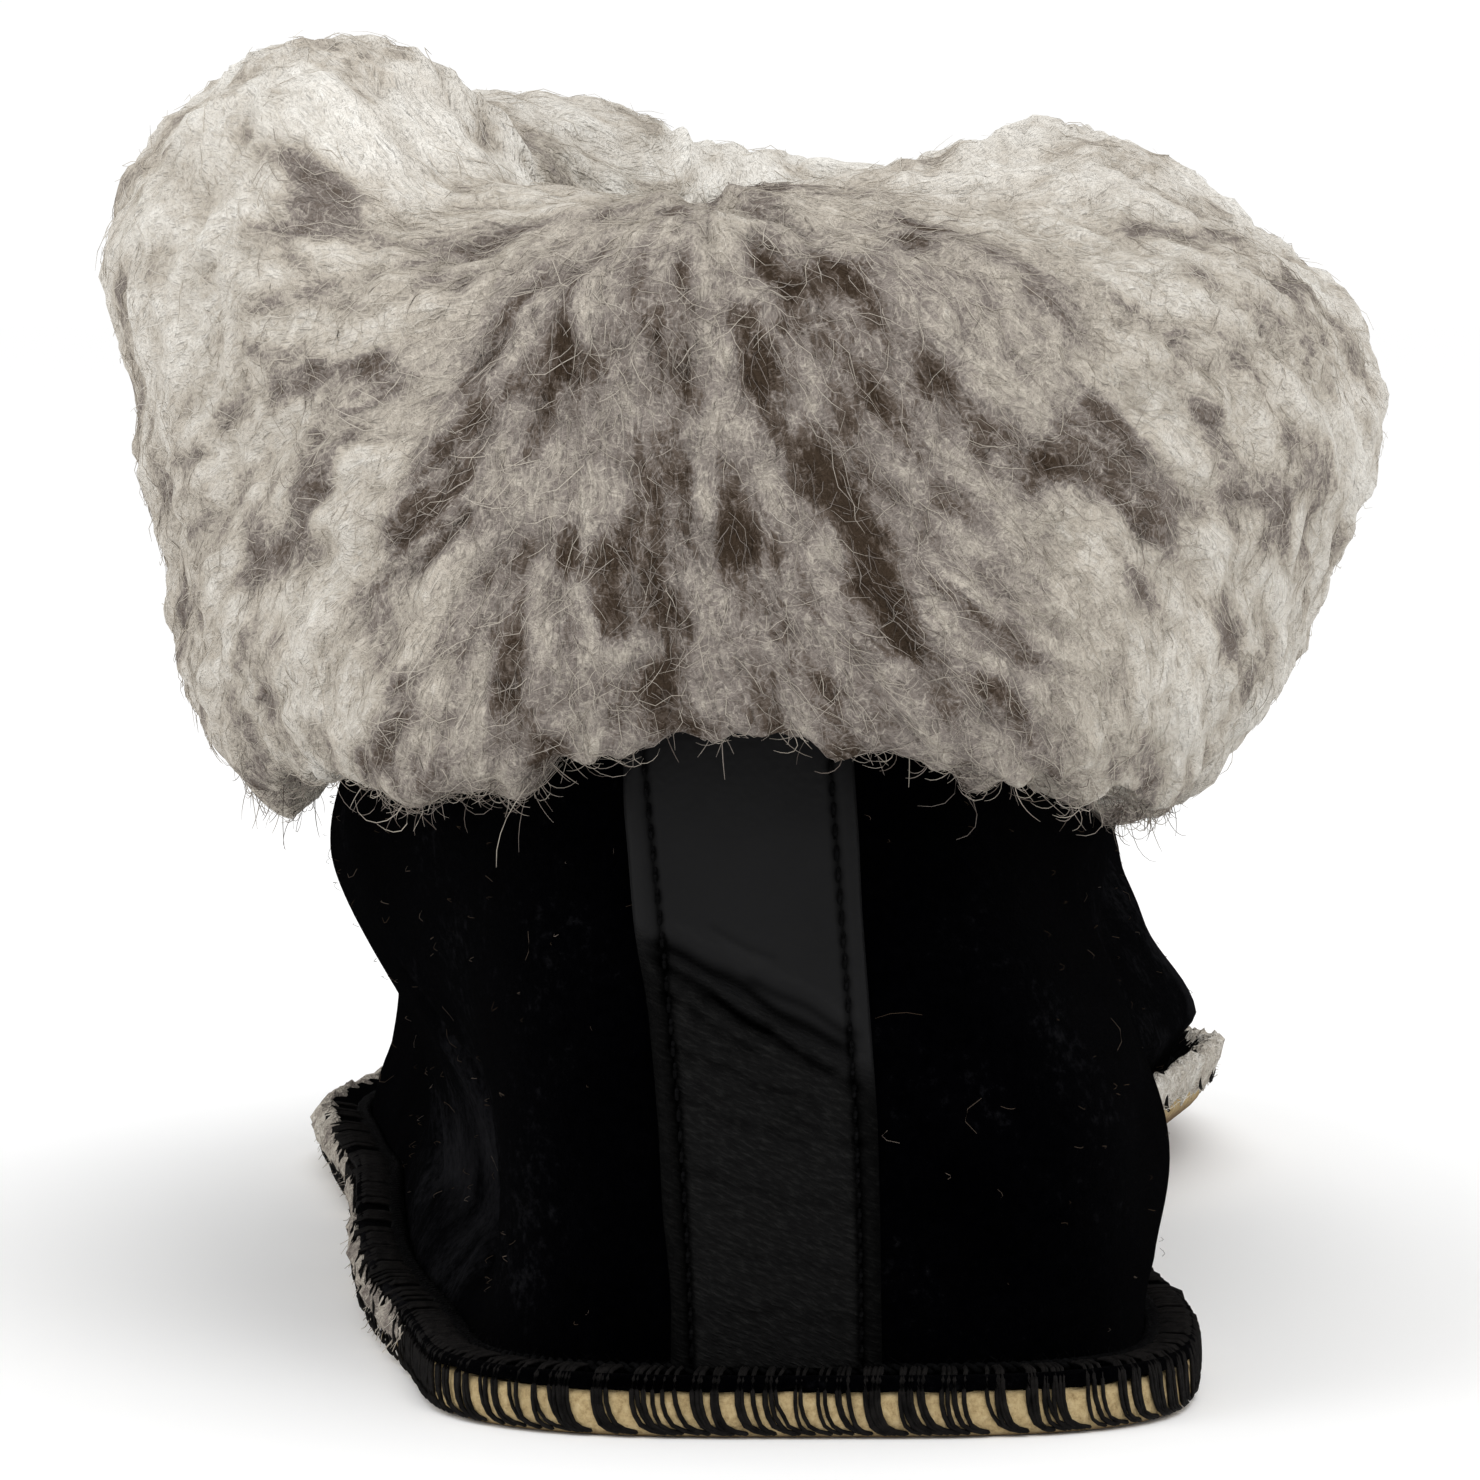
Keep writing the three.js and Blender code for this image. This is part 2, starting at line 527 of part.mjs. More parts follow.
// One lock: a flattened tuft laid along the fleece, from a root sunk in it to a tip lower down.
// "slant" is how far it leans round the shaft for each millimetre down.
const LOCK_STATIONS = [
  { along: 0.2, width: 0.7, thick: 0.7, sunk: 0.5 },
  { along: 0.56, width: 1.05, thick: 1.0, sunk: 0.2 },
  { along: 0.88, width: 0.74, thick: 0.75, sunk: 0.0 },
];
const LOCK_SIDES = 6;
const ROUND_RADIUS = 50; // the cuff's, to turn a sideways lean into degrees
function lock(turn, at, size, slant) {
  const length = LOCK_LENGTH * size;
  const station = (share) => {
    const t = turn + (slant * share * length) / ROUND_RADIUS;
    const a = at - (share * length) / SECTION_LENGTH;
    const round = cuffOutside(t + 0.03, a).sub(cuffOutside(t - 0.03, a)).normalize();
    const down = cuffOutside(t, a - 0.05).sub(cuffOutside(t, a + 0.05)).normalize();
    const away = new THREE.Vector3().crossVectors(down, round).normalize();
    if (away.dot(shaftOut(t)) < 0) away.negate();
    const across = down.multiplyScalar(-slant).add(round).normalize();
    return { centre: cuffOutside(t, a), across, away };
  };
  const root = station(0);
  const points = [root.centre.addScaledVector(root.away, -LOCK_RISE)];
  for (const row of LOCK_STATIONS) {
    const { centre, across, away } = station(row.along);
    for (let i = 0; i < LOCK_SIDES; i++) {
      const angle = (i / LOCK_SIDES) * TURN;
      points.push(
        centre
          .clone()
          .addScaledVector(away, LOCK_RISE * (Math.sin(angle) * row.thick - row.sunk))
          .addScaledVector(across, (LOCK_WIDTH / 2) * size * row.width * Math.cos(angle)),
      );
    }
  }
  const tip = station(1);
  points.push(tip.centre.addScaledVector(tip.away, LOCK_RISE * 0.2));
  const faces = [];
  const rows = LOCK_STATIONS.length;
  const last = points.length - 1;
  for (let i = 0; i < LOCK_SIDES; i++) {
    const k = (i + 1) % LOCK_SIDES;
    faces.push([0, 1 + k, 1 + i]);
    faces.push([last, 1 + (rows - 1) * LOCK_SIDES + i, 1 + (rows - 1) * LOCK_SIDES + k]);
    for (let j = 0; j + 1 < rows; j++) {
      const a = 1 + j * LOCK_SIDES;
      const b = a + LOCK_SIDES;
      faces.push([a + i, a + k, b + k], [a + i, b + k, b + i]);
    }
  }
  return closedMesh(points, faces);
}

// The cuff: fleece outside, over the fold and inside, its locks, and the room for the shaft.
function makeCuff() {
  let cuff = band([
    ...CUFF_OUTSIDE.map((row) => ring((turn) => cuffPoint(turn, row.at, 0))),
    ...CUFF_INSIDE.map((row) => ring((turn) => cuffInside(turn, row))),
  ]);
  for (const [j, row] of LOCK_ROWS.entries())
    for (let i = 0; i < row.count; i++) {
      const turn = ((i + row.offset) / row.count) * TURN;
      const uneven = Math.sin(7 * i + 3 * j);
      const slant = 0.38 * Math.sin(turn) + 0.15 * uneven;
      const size = row.size * (0.5 + 0.5 * cuffSize(turn, "fall")) * (1 + 0.1 * uneven);
      cuff = cuff.add(lock(turn, row.at + 0.03 * uneven, size, slant));
    }
  return cuff.subtract(wallRoom(0.3));
}

const part = new THREE.Group();

function add(name, solid, colour, roughness) {
  const made = solid.getMesh();
  const geometry = new THREE.BufferGeometry()
    .setAttribute("position", new THREE.BufferAttribute(new Float32Array(made.vertProperties), 3))
    .setIndex(new THREE.BufferAttribute(new Uint32Array(made.triVerts), 1));
  geometry.computeVertexNormals();
  const material = new THREE.MeshStandardMaterial({ color: colour, roughness, metalness: 0 });
  const mesh = new THREE.Mesh(geometry, material);
  mesh.name = name;
  part.add(mesh);
}

add("outsole", makeOutsole(), 0xb49a6c, 0.95);
add("upper", makeUpper(), 0x0a0a0b, 0.98);
add("footbed", makeFootbed(), 0xa59a8b, 1);
add("heel_strip", makeStrip(), 0x17171a, 0.45);
add("cuff", makeCuff(), 0x9f968b, 1);

export default part;
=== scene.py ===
# %% [markdown]
# # A sheepskin slipper boot, from the sole up
#
# This notebook dresses the plain solids of a slipper boot until they look like sheepskin: black
# suede outside, wool inside, a deep fleece cuff folded down round the ankle, a strip of smooth
# leather over the back seam, and a tan leather sole whose edge is bound with thread. Lengths are
# in millimetres until the mesh is made. The toe points along +Y, the inner side of the foot is
# +X, and the origin is on the floor under the heel.

# %% The frame
import math
import bpy
import numpy as np
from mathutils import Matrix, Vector


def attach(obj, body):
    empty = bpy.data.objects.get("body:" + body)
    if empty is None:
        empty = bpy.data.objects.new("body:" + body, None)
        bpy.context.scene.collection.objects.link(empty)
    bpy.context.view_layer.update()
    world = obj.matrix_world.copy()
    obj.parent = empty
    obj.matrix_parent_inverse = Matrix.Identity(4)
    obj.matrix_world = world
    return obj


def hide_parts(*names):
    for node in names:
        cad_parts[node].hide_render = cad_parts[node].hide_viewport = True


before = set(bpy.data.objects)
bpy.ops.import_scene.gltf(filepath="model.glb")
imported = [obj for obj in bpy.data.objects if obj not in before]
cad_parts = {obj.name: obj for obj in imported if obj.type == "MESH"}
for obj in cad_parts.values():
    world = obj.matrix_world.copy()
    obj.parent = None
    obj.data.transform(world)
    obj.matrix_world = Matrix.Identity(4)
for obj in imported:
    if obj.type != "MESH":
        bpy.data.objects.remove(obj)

MM = 0.001
TURN = 2 * np.pi
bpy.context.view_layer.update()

# %% [markdown]
# ## Two helpers for shapes
#
# Most of the slipper's sizes change smoothly along something: the sole's width along the foot,
# or the cuff's height round the ankle. A short table gives such a size at a few places, and one
# smooth curve goes through the table. A table is a dictionary of columns, so that a size is read
# by its name.

# %% Reading a table
def columns(text):
    """A table typed as rows of numbers under one row of names, as a dictionary of columns."""
    names, *rows = [line.split() for line in text.strip().splitlines()]
    numbers = np.array(rows, float)
    return dict(zip(names, numbers.T))


def through(knots, values, at):
    """The values at each `at`, on a cubic through the knots.

    The slope at a knot is the slope between its two neighbours, so the curve has no corners."""
    at = np.clip(at, knots[0], knots[-1])
    i = np.clip(np.searchsorted(knots, at, side="right") - 1, 0, len(knots) - 2)
    deep = (1,) * (values.ndim - 1)
    slopes = np.diff(values, axis=0) / np.diff(knots).reshape(-1, *deep)
    middle = (values[2:] - values[:-2]) / (knots[2:] - knots[:-2]).reshape(-1, *deep)
    slopes = np.concatenate([slopes[:1], middle, slopes[-1:]])
    width = (knots[i + 1] - knots[i]).reshape(at.shape + deep)
    t = (at - knots[i]).reshape(at.shape + deep) / width
    fall = values[i] * (1 + 2 * t) * (1 - t) ** 2 + values[i + 1] * t * t * (3 - 2 * t)
    return fall + width * (slopes[i] * t * (1 - t) ** 2 - slopes[i + 1] * t * t * (1 - t))


def curve(table, by, column, at):
    """A table's column at each `at`, read along the column named by `by`."""
    return through(table[by], table[column], np.asarray(at, float))


def smooth_step(value, low, high):
    """0 below low, 1 above high, and a soft rise between them."""
    t = np.clip((value - low) / (high - low), 0, 1)
    return t * t * (3 - 2 * t)

# %% [markdown]
# ## Randomness that never changes
#
# Wool, nap and hand-guided stitches are uneven. Each number below looks random but is worked out
# from a cell's whole-number place and a seed, so the slipper comes out the same on every run.

# %% Random numbers by cell, and soft noise
def hashed(cells, seed):
    """A number from 0 to 1 for each cell, given as whole numbers along the last axis."""
    mixed = np.full(cells.shape[:-1], 0x9E3779B9 * (seed + 1) % 2**32, np.uint64)
    for axis in range(cells.shape[-1]):
        mixed ^= cells[..., axis].astype(np.int64).astype(np.uint64) & np.uint64(0xFFFFFFFF)
        mixed = (mixed * np.uint64(0x85EBCA6B)) & np.uint64(0xFFFFFFFF)
        mixed ^= mixed >> np.uint64(15)
        mixed = (mixed * np.uint64(0xC2B2AE35)) & np.uint64(0xFFFFFFFF)
        mixed ^= mixed >> np.uint64(13)
    return (mixed & np.uint64(0xFFFFFF)).astype(float) / 2**24


def soft_noise(places, seed):
    """Noise from 0 to 1: random numbers at whole-number corners, blended smoothly between them."""
    low = np.floor(places)
    part = places - low
    part = part * part * (3 - 2 * part)
    total = 0
    for corner in np.ndindex(*(2,) * places.shape[-1]):
        corner = np.array(corner)
        share = np.prod(np.where(corner == 1, part, 1 - part), axis=-1)
        total = total + share * hashed(low + corner, seed)
    return total


def stack(*parts):
    """Arrays broadcast together and joined along a new last axis."""
    return np.stack(np.broadcast_arrays(*parts), axis=-1)

# %% [markdown]
# ## Making a mesh
#
# Every piece is a grid of points computed at once. A band is a grid that closes on itself both
# ways, like a tyre's skin, which suits a hollow upper or a folded cuff. A slab closes its first
# and last ring straight across, which suits a sole.

# %% Grids to closed meshes
def band_faces(rows, across):
    """Quads of a grid that wraps round in both directions."""
    j, i = np.meshgrid(np.arange(rows), np.arange(across), indexing="ij")
    down = (j + 1) % rows
    side = (i + 1) % across
    quads = stack(j * across + i, j * across + side, down * across + side, down * across + i)
    return quads.reshape(-1, 4)


def slab_faces(rows, across):
    """Quads of a grid that wraps round one way, closed by rungs across its first and last ring."""
    walls = band_faces(rows, across).reshape(rows, across, 4)[:-1].reshape(-1, 4)
    i = np.arange(1, across // 2 - 1)
    rungs = stack(i, i + 1, across - i - 1, across - i)
    half = across // 2
    ends = np.array([[0, 1, across - 1, across - 1], [half - 1, half, half + 1, half + 1]])
    lids = np.concatenate([rungs, ends])
    return np.concatenate([walls, lids[:, ::-1], lids + (rows - 1) * across])


def normals_of(points, closed_rows=True):
    """Unit normals of a grid of points that wraps round along its columns."""
    along = np.roll(points, -1, axis=1) - np.roll(points, 1, axis=1)
    if closed_rows:
        down = np.roll(points, -1, axis=0) - np.roll(points, 1, axis=0)
    else:
        down = np.gradient(points, axis=0)
    normal = np.cross(along, down)
    return normal / np.maximum(np.linalg.norm(normal, axis=-1, keepdims=True), 1e-9)

# %% From points to a piece
def make_piece(name, points, faces, material, stands_for=(), values=None):
    """A mesh piece from points in millimetres and faces with three or four corners.

    A face that gives its last corner twice is a triangle. The faces are turned to point outwards
    if the volume they enclose comes out negative."""
    points = np.asarray(points, float).reshape(-1, 3)
    faces = np.asarray(faces)
    if faces.shape[1] == 4:
        is_quad = faces[:, 2] != faces[:, 3]
    else:
        is_quad = np.zeros(len(faces), bool)
    a, b, c = (points[faces[:, k]] for k in range(3))
    volume = np.einsum("ij,ij->i", a, np.cross(b, c)).sum()
    quads = faces[is_quad]
    a, b, c = (points[quads[:, k]] for k in (0, 2, 3)) if len(quads) else (points[:0],) * 3
    volume += np.einsum("ij,ij->i", a, np.cross(b, c)).sum()
    triangles = faces[~is_quad][:, :3]
    if volume < 0:
        quads = quads[:, ::-1]
        triangles = triangles[:, ::-1]
    corners = np.concatenate([quads.ravel(), triangles.ravel()]).astype(np.int32)
    sizes = np.concatenate([np.full(len(quads), 4), np.full(len(triangles), 3)])
    mesh = bpy.data.meshes.new(name)
    mesh.vertices.add(len(points))
    mesh.vertices.foreach_set("co", (points * MM).astype(np.float32).ravel())
    mesh.loops.add(len(corners))
    mesh.loops.foreach_set("vertex_index", corners)
    mesh.polygons.add(len(sizes))
    mesh.polygons.foreach_set("loop_start", (np.cumsum(sizes) - sizes).astype(np.int32))
    mesh.update(calc_edges=True)
    mesh.validate()
    mesh.shade_smooth()
    for key, value in (values or {}).items():
        kind = "FLOAT_VECTOR" if np.ndim(value) > 1 else "FLOAT"
        field = "vector" if np.ndim(value) > 1 else "value"
        layer = mesh.attributes.new(key, kind, "POINT")
        layer.data.foreach_set(field, np.asarray(value, np.float32).ravel())
    mesh.materials.append(material)
    piece = bpy.data.objects.new(name, mesh)
    bpy.context.scene.collection.objects.link(piece)
    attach(piece, "root")
    if stands_for:
        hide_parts(*stands_for)
    print(f"{name}: {len(quads) * 2 + len(triangles)} triangles")
    return piece

# %% Many tubes at once
def tubes(paths, radii, sides=5):
    """Points and faces of closed tubes along many paths at once.

    paths is (tubes, points, 3); radii is (tubes, points). Each ring lies across its path, and
    each end closes on one point."""
    count, length = radii.shape
    ahead = np.gradient(paths, axis=1)
    ahead /= np.maximum(np.linalg.norm(ahead, axis=-1, keepdims=True), 1e-9)
    guide = np.where(np.abs(ahead[..., 2:3]) > 0.9, [1.0, 0.0, 0.0], [0.0, 0.0, 1.0])
    first = np.cross(ahead, guide)
    first /= np.maximum(np.linalg.norm(first, axis=-1, keepdims=True), 1e-9)
    second = np.cross(ahead, first)
    angle = np.arange(sides) / sides * TURN
    ring = first[:, :, None] * np.cos(angle)[:, None] + second[:, :, None] * np.sin(angle)[:, None]
    walls = paths[:, :, None] + ring * radii[:, :, None, None]
    root = paths[:, 0] - ahead[:, 0] * radii[:, :1]
    tip = paths[:, -1] + ahead[:, -1] * radii[:, -1:]
    ends = np.stack([root, tip], axis=1)
    points = np.concatenate([walls.reshape(count, -1, 3), ends], axis=1)
    j, i = np.meshgrid(np.arange(length - 1), np.arange(sides), indexing="ij")
    k = (i + 1) % sides
    body = stack(j * sides + i, j * sides + k, (j + 1) * sides + k, (j + 1) * sides + i)
    i = np.arange(sides)
    k = (i + 1) % sides
    last = (length - 1) * sides
    start = stack(k, i, length * sides, length * sides)
    finish = stack(last + i, last + k, length * sides + 1, length * sides + 1)
    faces = np.concatenate([body.reshape(-1, 4), start, finish])
    shift = (np.arange(count) * points.shape[1])[:, None, None]
    return points.reshape(-1, 3), (faces[None] + shift).reshape(-1, 4)

# %% [markdown]
# ## The last and the sole's outline
#
# A shoemaker starts from the last, the wooden foot. Its outline in plan sets the sole: narrow at
# the waist, wide at the ball, rounded at the toe. The heel of this slipper is cut almost square,
# and the sole's soft edge curls up along the ball, most of all on the inner side.

# %% Sizes of the last, and its outline as a table
FOOT_LENGTH = 252
BALL_WIDTH = 93
HEEL_CENTRE = 35
ARCH_LIFT = 1.5
TOE_SPRING = 9
SEAM_WIDTH = 5
CURL_REACH = 11
HEEL_INNER = (0.08, 3.8)
HEEL_OUTER = (0.07, 3)
TOE_ROUND = (0.22, 2.25)
ARCH_FROM = 0.28
ARCH_SPAN = 0.26
SPRING_FROM = 0.76
OUTLINE = columns("""
along outer inner axis  outerCurl innerCurl
0.00  0.275 0.348 0.000 0.0       0.0
0.12  0.327 0.377 0.000 0.0       0.3
0.24  0.385 0.335 0.000 0.6       1.2
0.36  0.415 0.285 0.000 1.0       2.6
0.48  0.435 0.310 0.000 1.4       4.8
0.60  0.480 0.415 0.005 1.5       7.5
0.70  0.515 0.482 0.015 1.5       8.0
0.80  0.472 0.470 0.030 1.5       5.5
0.90  0.440 0.435 0.050 1.5       3.0
1.00  0.420 0.410 0.065 1.5       1.5
""")

# %% The outline as a function
def along_foot(turn):
    """Share of the foot's length at a turn: 0 at the back, a quarter turn on the inner side."""
    return (1 - np.cos(turn)) / 2


def rounded(share, reach, corner):
    """A quarter of a superellipse: 1 from reach onwards, falling to 0 at the end of the foot."""
    near = np.clip(share / reach, 0, 1)
    return (1 - (1 - near) ** corner) ** (1 / corner)


def outline(turn):
    """The outline in plan, as x and y: half-width to each side of an axis that bends inwards."""
    along = along_foot(turn)
    inner = np.sin(turn) >= 0
    half = np.where(
        inner,
        curve(OUTLINE, "along", "inner", along) * rounded(along, *HEEL_INNER),
        curve(OUTLINE, "along", "outer", along) * rounded(along, *HEEL_OUTER),
    )
    half = half * rounded(1 - along, *TOE_ROUND)
    middle = curve(OUTLINE, "along", "axis", along)
    return stack(
        BALL_WIDTH * (middle + np.where(inner, half, -half)),
        FOOT_LENGTH * along - HEEL_CENTRE,
    )


def outline_at(turn, out):
    """The outline moved outwards by a distance, square to itself."""
    step = 0.02
    ahead = outline(turn + step) - outline(turn - step)
    ahead /= np.linalg.norm(ahead, axis=-1, keepdims=True)
    side = stack(ahead[..., 1], -ahead[..., 0])
    return outline(turn) + side * np.asarray(out)[..., None]

# %% Arch, toe spring and curled edge
def lift(along):
    """Height of the sole's underside: a low arch at the waist and a spring at the toe."""
    arch = 1 - np.abs(2 * np.clip((along - ARCH_FROM) / ARCH_SPAN, 0, 1) - 1)
    spring = np.clip((along - SPRING_FROM) / (1 - SPRING_FROM), 0, 1) ** 1.7
    return ARCH_LIFT * arch * arch * (3 - 2 * arch) + TOE_SPRING * spring


def curl(turn, out):
    """How much the sole's edge has curled up at a distance from the outline."""
    along = along_foot(turn)
    most = np.where(
        np.sin(turn) >= 0,
        curve(OUTLINE, "along", "innerCurl", along),
        curve(OUTLINE, "along", "outerCurl", along),
    )
    share = np.clip(out + CURL_REACH, 0, None) / (CURL_REACH + SEAM_WIDTH)
    return most * share**2

# %% Even steps and rings along the outline
def even_turns(count):
    """Turns that lie evenly along the outline, because equal angles crowd at the heel and toe."""
    fine = np.linspace(0, TURN, 20001)
    steps = np.linalg.norm(np.diff(outline_at(fine, SEAM_WIDTH), axis=0), axis=-1)
    length = np.concatenate([[0], np.cumsum(steps)])
    return np.interp(np.arange(count) / count * length[-1], length, fine), length[-1]


def outline_ring(turn, out, height):
    """Points at a distance from the outline and a height above the sole's underside."""
    plan = outline_at(turn, out)
    z = lift(along_foot(turn)) + curl(turn, out) + height
    return stack(plan[..., 0], plan[..., 1], z)


print("outline half-way along each side:", outline(np.array([TURN / 4, 3 * TURN / 4])).round(1))

# %% [markdown]
# ## The upper's shape
#
# The upper rises from the outline to an oval at the ankle. At the back it stands nearly upright;
# at the toe it bulges over the toe box and then slopes up the instep. A table of ribs says how
# much of the height and how much of the way inwards each level has, at the heel and at the toe.
# Soft dents and swellings then slouch the empty leather, because sheepskin has no stiffener.
# They are soft spots in a table, and the cuff and the suede's painted sheen use such tables too.

# %% The upper's sizes, ribs and slouch
SHAFT_HEIGHT = 101
SHAFT_LENGTH = 105
SHAFT_WIDTH = 72
SHAFT_LEAN = 5.6
SHAFT_SETBACK = 3
SKIN = 1.8
SOLE_EDGE = 4.3
SEAM_SKIN = 1.3
SEAM_DIP = 0.8
CLEARANCE = 0.3
SEAM_UNDERSIDE = SOLE_EDGE + CLEARANCE
UPPER_FOOT = SEAM_UNDERSIDE - SEAM_DIP + SEAM_SKIN
RIBS = columns("""
level heelRise heelReach toeRise toeReach
0.000 0.000    0.00      0.000   0.000
0.090 0.080    0.03      0.100  -0.012
0.180 0.165    0.08      0.215   0.002
0.270 0.250    0.16      0.310   0.050
0.360 0.340    0.28      0.378   0.145
0.450 0.430    0.42      0.430   0.290
0.540 0.520    0.56      0.490   0.445
0.630 0.610    0.69      0.565   0.600
0.720 0.705    0.80      0.660   0.740
0.810 0.800    0.89      0.765   0.865
0.905 0.900    0.95      0.880   0.955
1.000 1.000    1.00      1.000   1.000
""")
SLOUCH = columns("""
turn level turnSpread levelSpread push
66   0.19  36         0.17        0.100
84   0.46  28         0.11       -0.040
-46  0.13  20         0.17       -0.100
-58  0.60  36         0.20        0.035
-98  0.15  30         0.12       -0.062
-84  0.40  28         0.15        0.078
108  0.08  24         0.07        0.072
112  0.27  28         0.14       -0.090
0    0.30  24         0.20        0.025
""")

# %% Soft spots of a table
def soft_spots(table, turn, column, at):
    """The pushes of a table of soft spots, added up at each turn and each place in a column.

    A push falls off as exp(-(a / A)**2 - (b / B)**2): a and b are how far away the spot's middle
    is, in turn and in the named column, and A and B are the spot's two spreads."""
    total = 0
    for k in range(len(table["turn"])):
        middle = np.radians(table["turn"][k])
        across = np.arctan2(np.sin(turn - middle), np.cos(turn - middle))
        far = (across / np.radians(table["turnSpread"][k])) ** 2
        far = far + ((at - table[column][k]) / table[column + "Spread"][k]) ** 2
        total = total + table["push"][k] * np.exp(-far)
    return total

# %% The upper as a function of turn and level
def blended(turn, heel, toe, level):
    """A rib column between its value on the heel's rib and its value on the toe's."""
    along = along_foot(turn)
    back = curve(RIBS, "level", heel, level)
    return back + (curve(RIBS, "level", toe, level) - back) * along


def upper_height(turn, level):
    """Height of the upper's face: its foot on the sole's margin, plus its share of the rise."""
    foot = lift(along_foot(turn)) + curl(turn, 0) + UPPER_FOOT
    return foot + (SHAFT_HEIGHT - foot) * blended(turn, "heelRise", "toeRise", level)


def upper(turn, level):
    """A point on the suede's face, from the outline at level 0 to the ankle's oval at level 1."""
    reach = blended(turn, "heelReach", "toeReach", level)
    start = outline(turn)
    x = start[..., 0] + (-SHAFT_LEAN + SHAFT_WIDTH / 2 * np.sin(turn) - start[..., 0]) * reach
    oval = SHAFT_SETBACK - HEEL_CENTRE + SHAFT_LENGTH / 2 * (1 - np.cos(turn))
    y = start[..., 1] + (oval - start[..., 1]) * reach
    push = SHAFT_WIDTH * soft_spots(SLOUCH, turn, "level", level) * np.minimum(1, level / 0.08)
    return stack(x + push * np.sin(turn), y - push * np.cos(turn), upper_height(turn, level))


def level_at(turn, height):
    """The level of the upper that has a given height, found by halving."""
    low = np.zeros(np.broadcast(turn, height).shape)
    high = np.ones_like(low)
    for _ in range(16):
        middle = (low + high) / 2
        below = upper_height(turn, middle) < height
        low = np.where(below, middle, low)
        high = np.where(below, high, middle)
    return (low + high) / 2


print("ankle's width and length:", SHAFT_WIDTH, SHAFT_LENGTH)

# %% [markdown]
# ## Camera and light
#
# The slipper was photographed from straight behind at close range, with the lens about level with
# the cuff's rim, so the floor rises quickly behind the heel. A long lens on a near camera gives
# that perspective. Light is plain and soft: a white room, a broad lamp above and behind the
# camera, and a weaker one at the left.

# %% The camera
CAMERA = (-3.45, -640.0, 111.0)
PITCH = 4.5
LENS = 162.5
SENSOR = 36
FLOOR_WHITE = 0.97
ROOM_LIGHT = 1.03
camera = bpy.data.objects.new("camera", bpy.data.cameras.new("camera"))
bpy.context.scene.collection.objects.link(camera)
camera.location = Vector(CAMERA) * MM
camera.rotation_euler = (math.radians(90 - PITCH), 0, 0)
camera.data.lens = LENS
camera.data.sensor_width = SENSOR
bpy.context.scene.camera = camera

# %% A white floor in a white room
floor_mesh = bpy.data.meshes.new("floor")
floor_mesh.from_pydata([(-6, -6, 0), (6, -6, 0), (6, 6, 0), (-6, 6, 0)], [], [(0, 1, 2, 3)])
floor = bpy.data.objects.new("floor", floor_mesh)
bpy.context.scene.collection.objects.link(floor)
floor_paint = bpy.data.materials.new("floor_paint")
floor_paint.use_nodes = True
floor_shader = floor_paint.node_tree.nodes["Principled BSDF"]
floor_shader.inputs["Base Color"].default_value = (FLOOR_WHITE, FLOOR_WHITE, FLOOR_WHITE, 1)
floor_shader.inputs["Roughness"].default_value = 1
floor_shader.inputs["Specular IOR Level"].default_value = 0
floor_mesh.materials.append(floor_paint)

world = bpy.data.worlds.new("white_room")
world.use_nodes = True
world.node_tree.nodes["Background"].inputs["Color"].default_value = (1, 1, 1, 1)
world.node_tree.nodes["Background"].inputs["Strength"].default_value = ROOM_LIGHT
bpy.context.scene.world = world
bpy.context.scene.view_settings.view_transform = "Standard"

# %% Two lamps
def lamp(name, place, target, size, power):
    """A square area lamp at a place in metres, turned to a target."""
    data = bpy.data.lights.new(name, "AREA")
    data.size = size
    data.energy = power
    made = bpy.data.objects.new(name, data)
    made.location = place
    aim = Vector(target) - Vector(place)
    made.rotation_euler = aim.to_track_quat("-Z", "Y").to_euler()
    bpy.context.scene.collection.objects.link(made)


lamp("key", (0.3, -0.9, 1.1), (0, 0, 0.07), 0.7, 6)
lamp("fill", (-0.9, -0.5, 0.5), (0, 0, 0.07), 0.6, 2)

# %% [markdown]
# ## Finishes and how they are built
#
# Every finish is a principled shader with a few nodes before it. The helpers below make one node
# each and give back its output, so a finish reads like a recipe: a noise, a ramp of colours, a
# bump. Scales are in features per metre, and colours are read off a picture from 0 to 255.

# %% Small helpers for shader nodes
def new_material(name, roughness, specular):
    """A principled material; returns it with its tree and shader."""
    made = bpy.data.materials.new(name)
    made.use_nodes = True
    shader = made.node_tree.nodes["Principled BSDF"]
    shader.inputs["Roughness"].default_value = roughness
    shader.inputs["Specular IOR Level"].default_value = specular
    return made, made.node_tree, shader


def node(tree, kind, settings=None, **inputs):
    """A node with some of its inputs set, or linked where the value is another node's output."""
    made = tree.nodes.new(kind)
    for key, value in (settings or {}).items():
        setattr(made, key, value)
    for key, value in inputs.items():
        socket = made.inputs[key.replace("_", " ")]
        if isinstance(value, bpy.types.NodeSocket):
            tree.links.new(value, socket)
        else:
            socket.default_value = value
    return made


def noise(tree, scale, detail=3.0, rough=0.55, vector=None):
    """Object-space noise; scale is in features per metre."""
    place = vector or node(tree, "ShaderNodeTexCoord").outputs["Object"]
    inputs = {"Vector": place, "Scale": scale, "Detail": detail, "Roughness": rough}
    return node(tree, "ShaderNodeTexNoise", **inputs).outputs["Fac"]


def attribute(tree, name, output="Fac"):
    """A value, or a vector, that a piece carries at each of its points."""
    return node(tree, "ShaderNodeAttribute", {"attribute_name": name}).outputs[output]

# %% Values and colours put together
def product(tree, first, second):
    """Two values multiplied."""
    made = node(tree, "ShaderNodeMath", {"operation": "MULTIPLY"})
    tree.links.new(first, made.inputs[0])
    tree.links.new(second, made.inputs[1])
    return made.outputs[0]


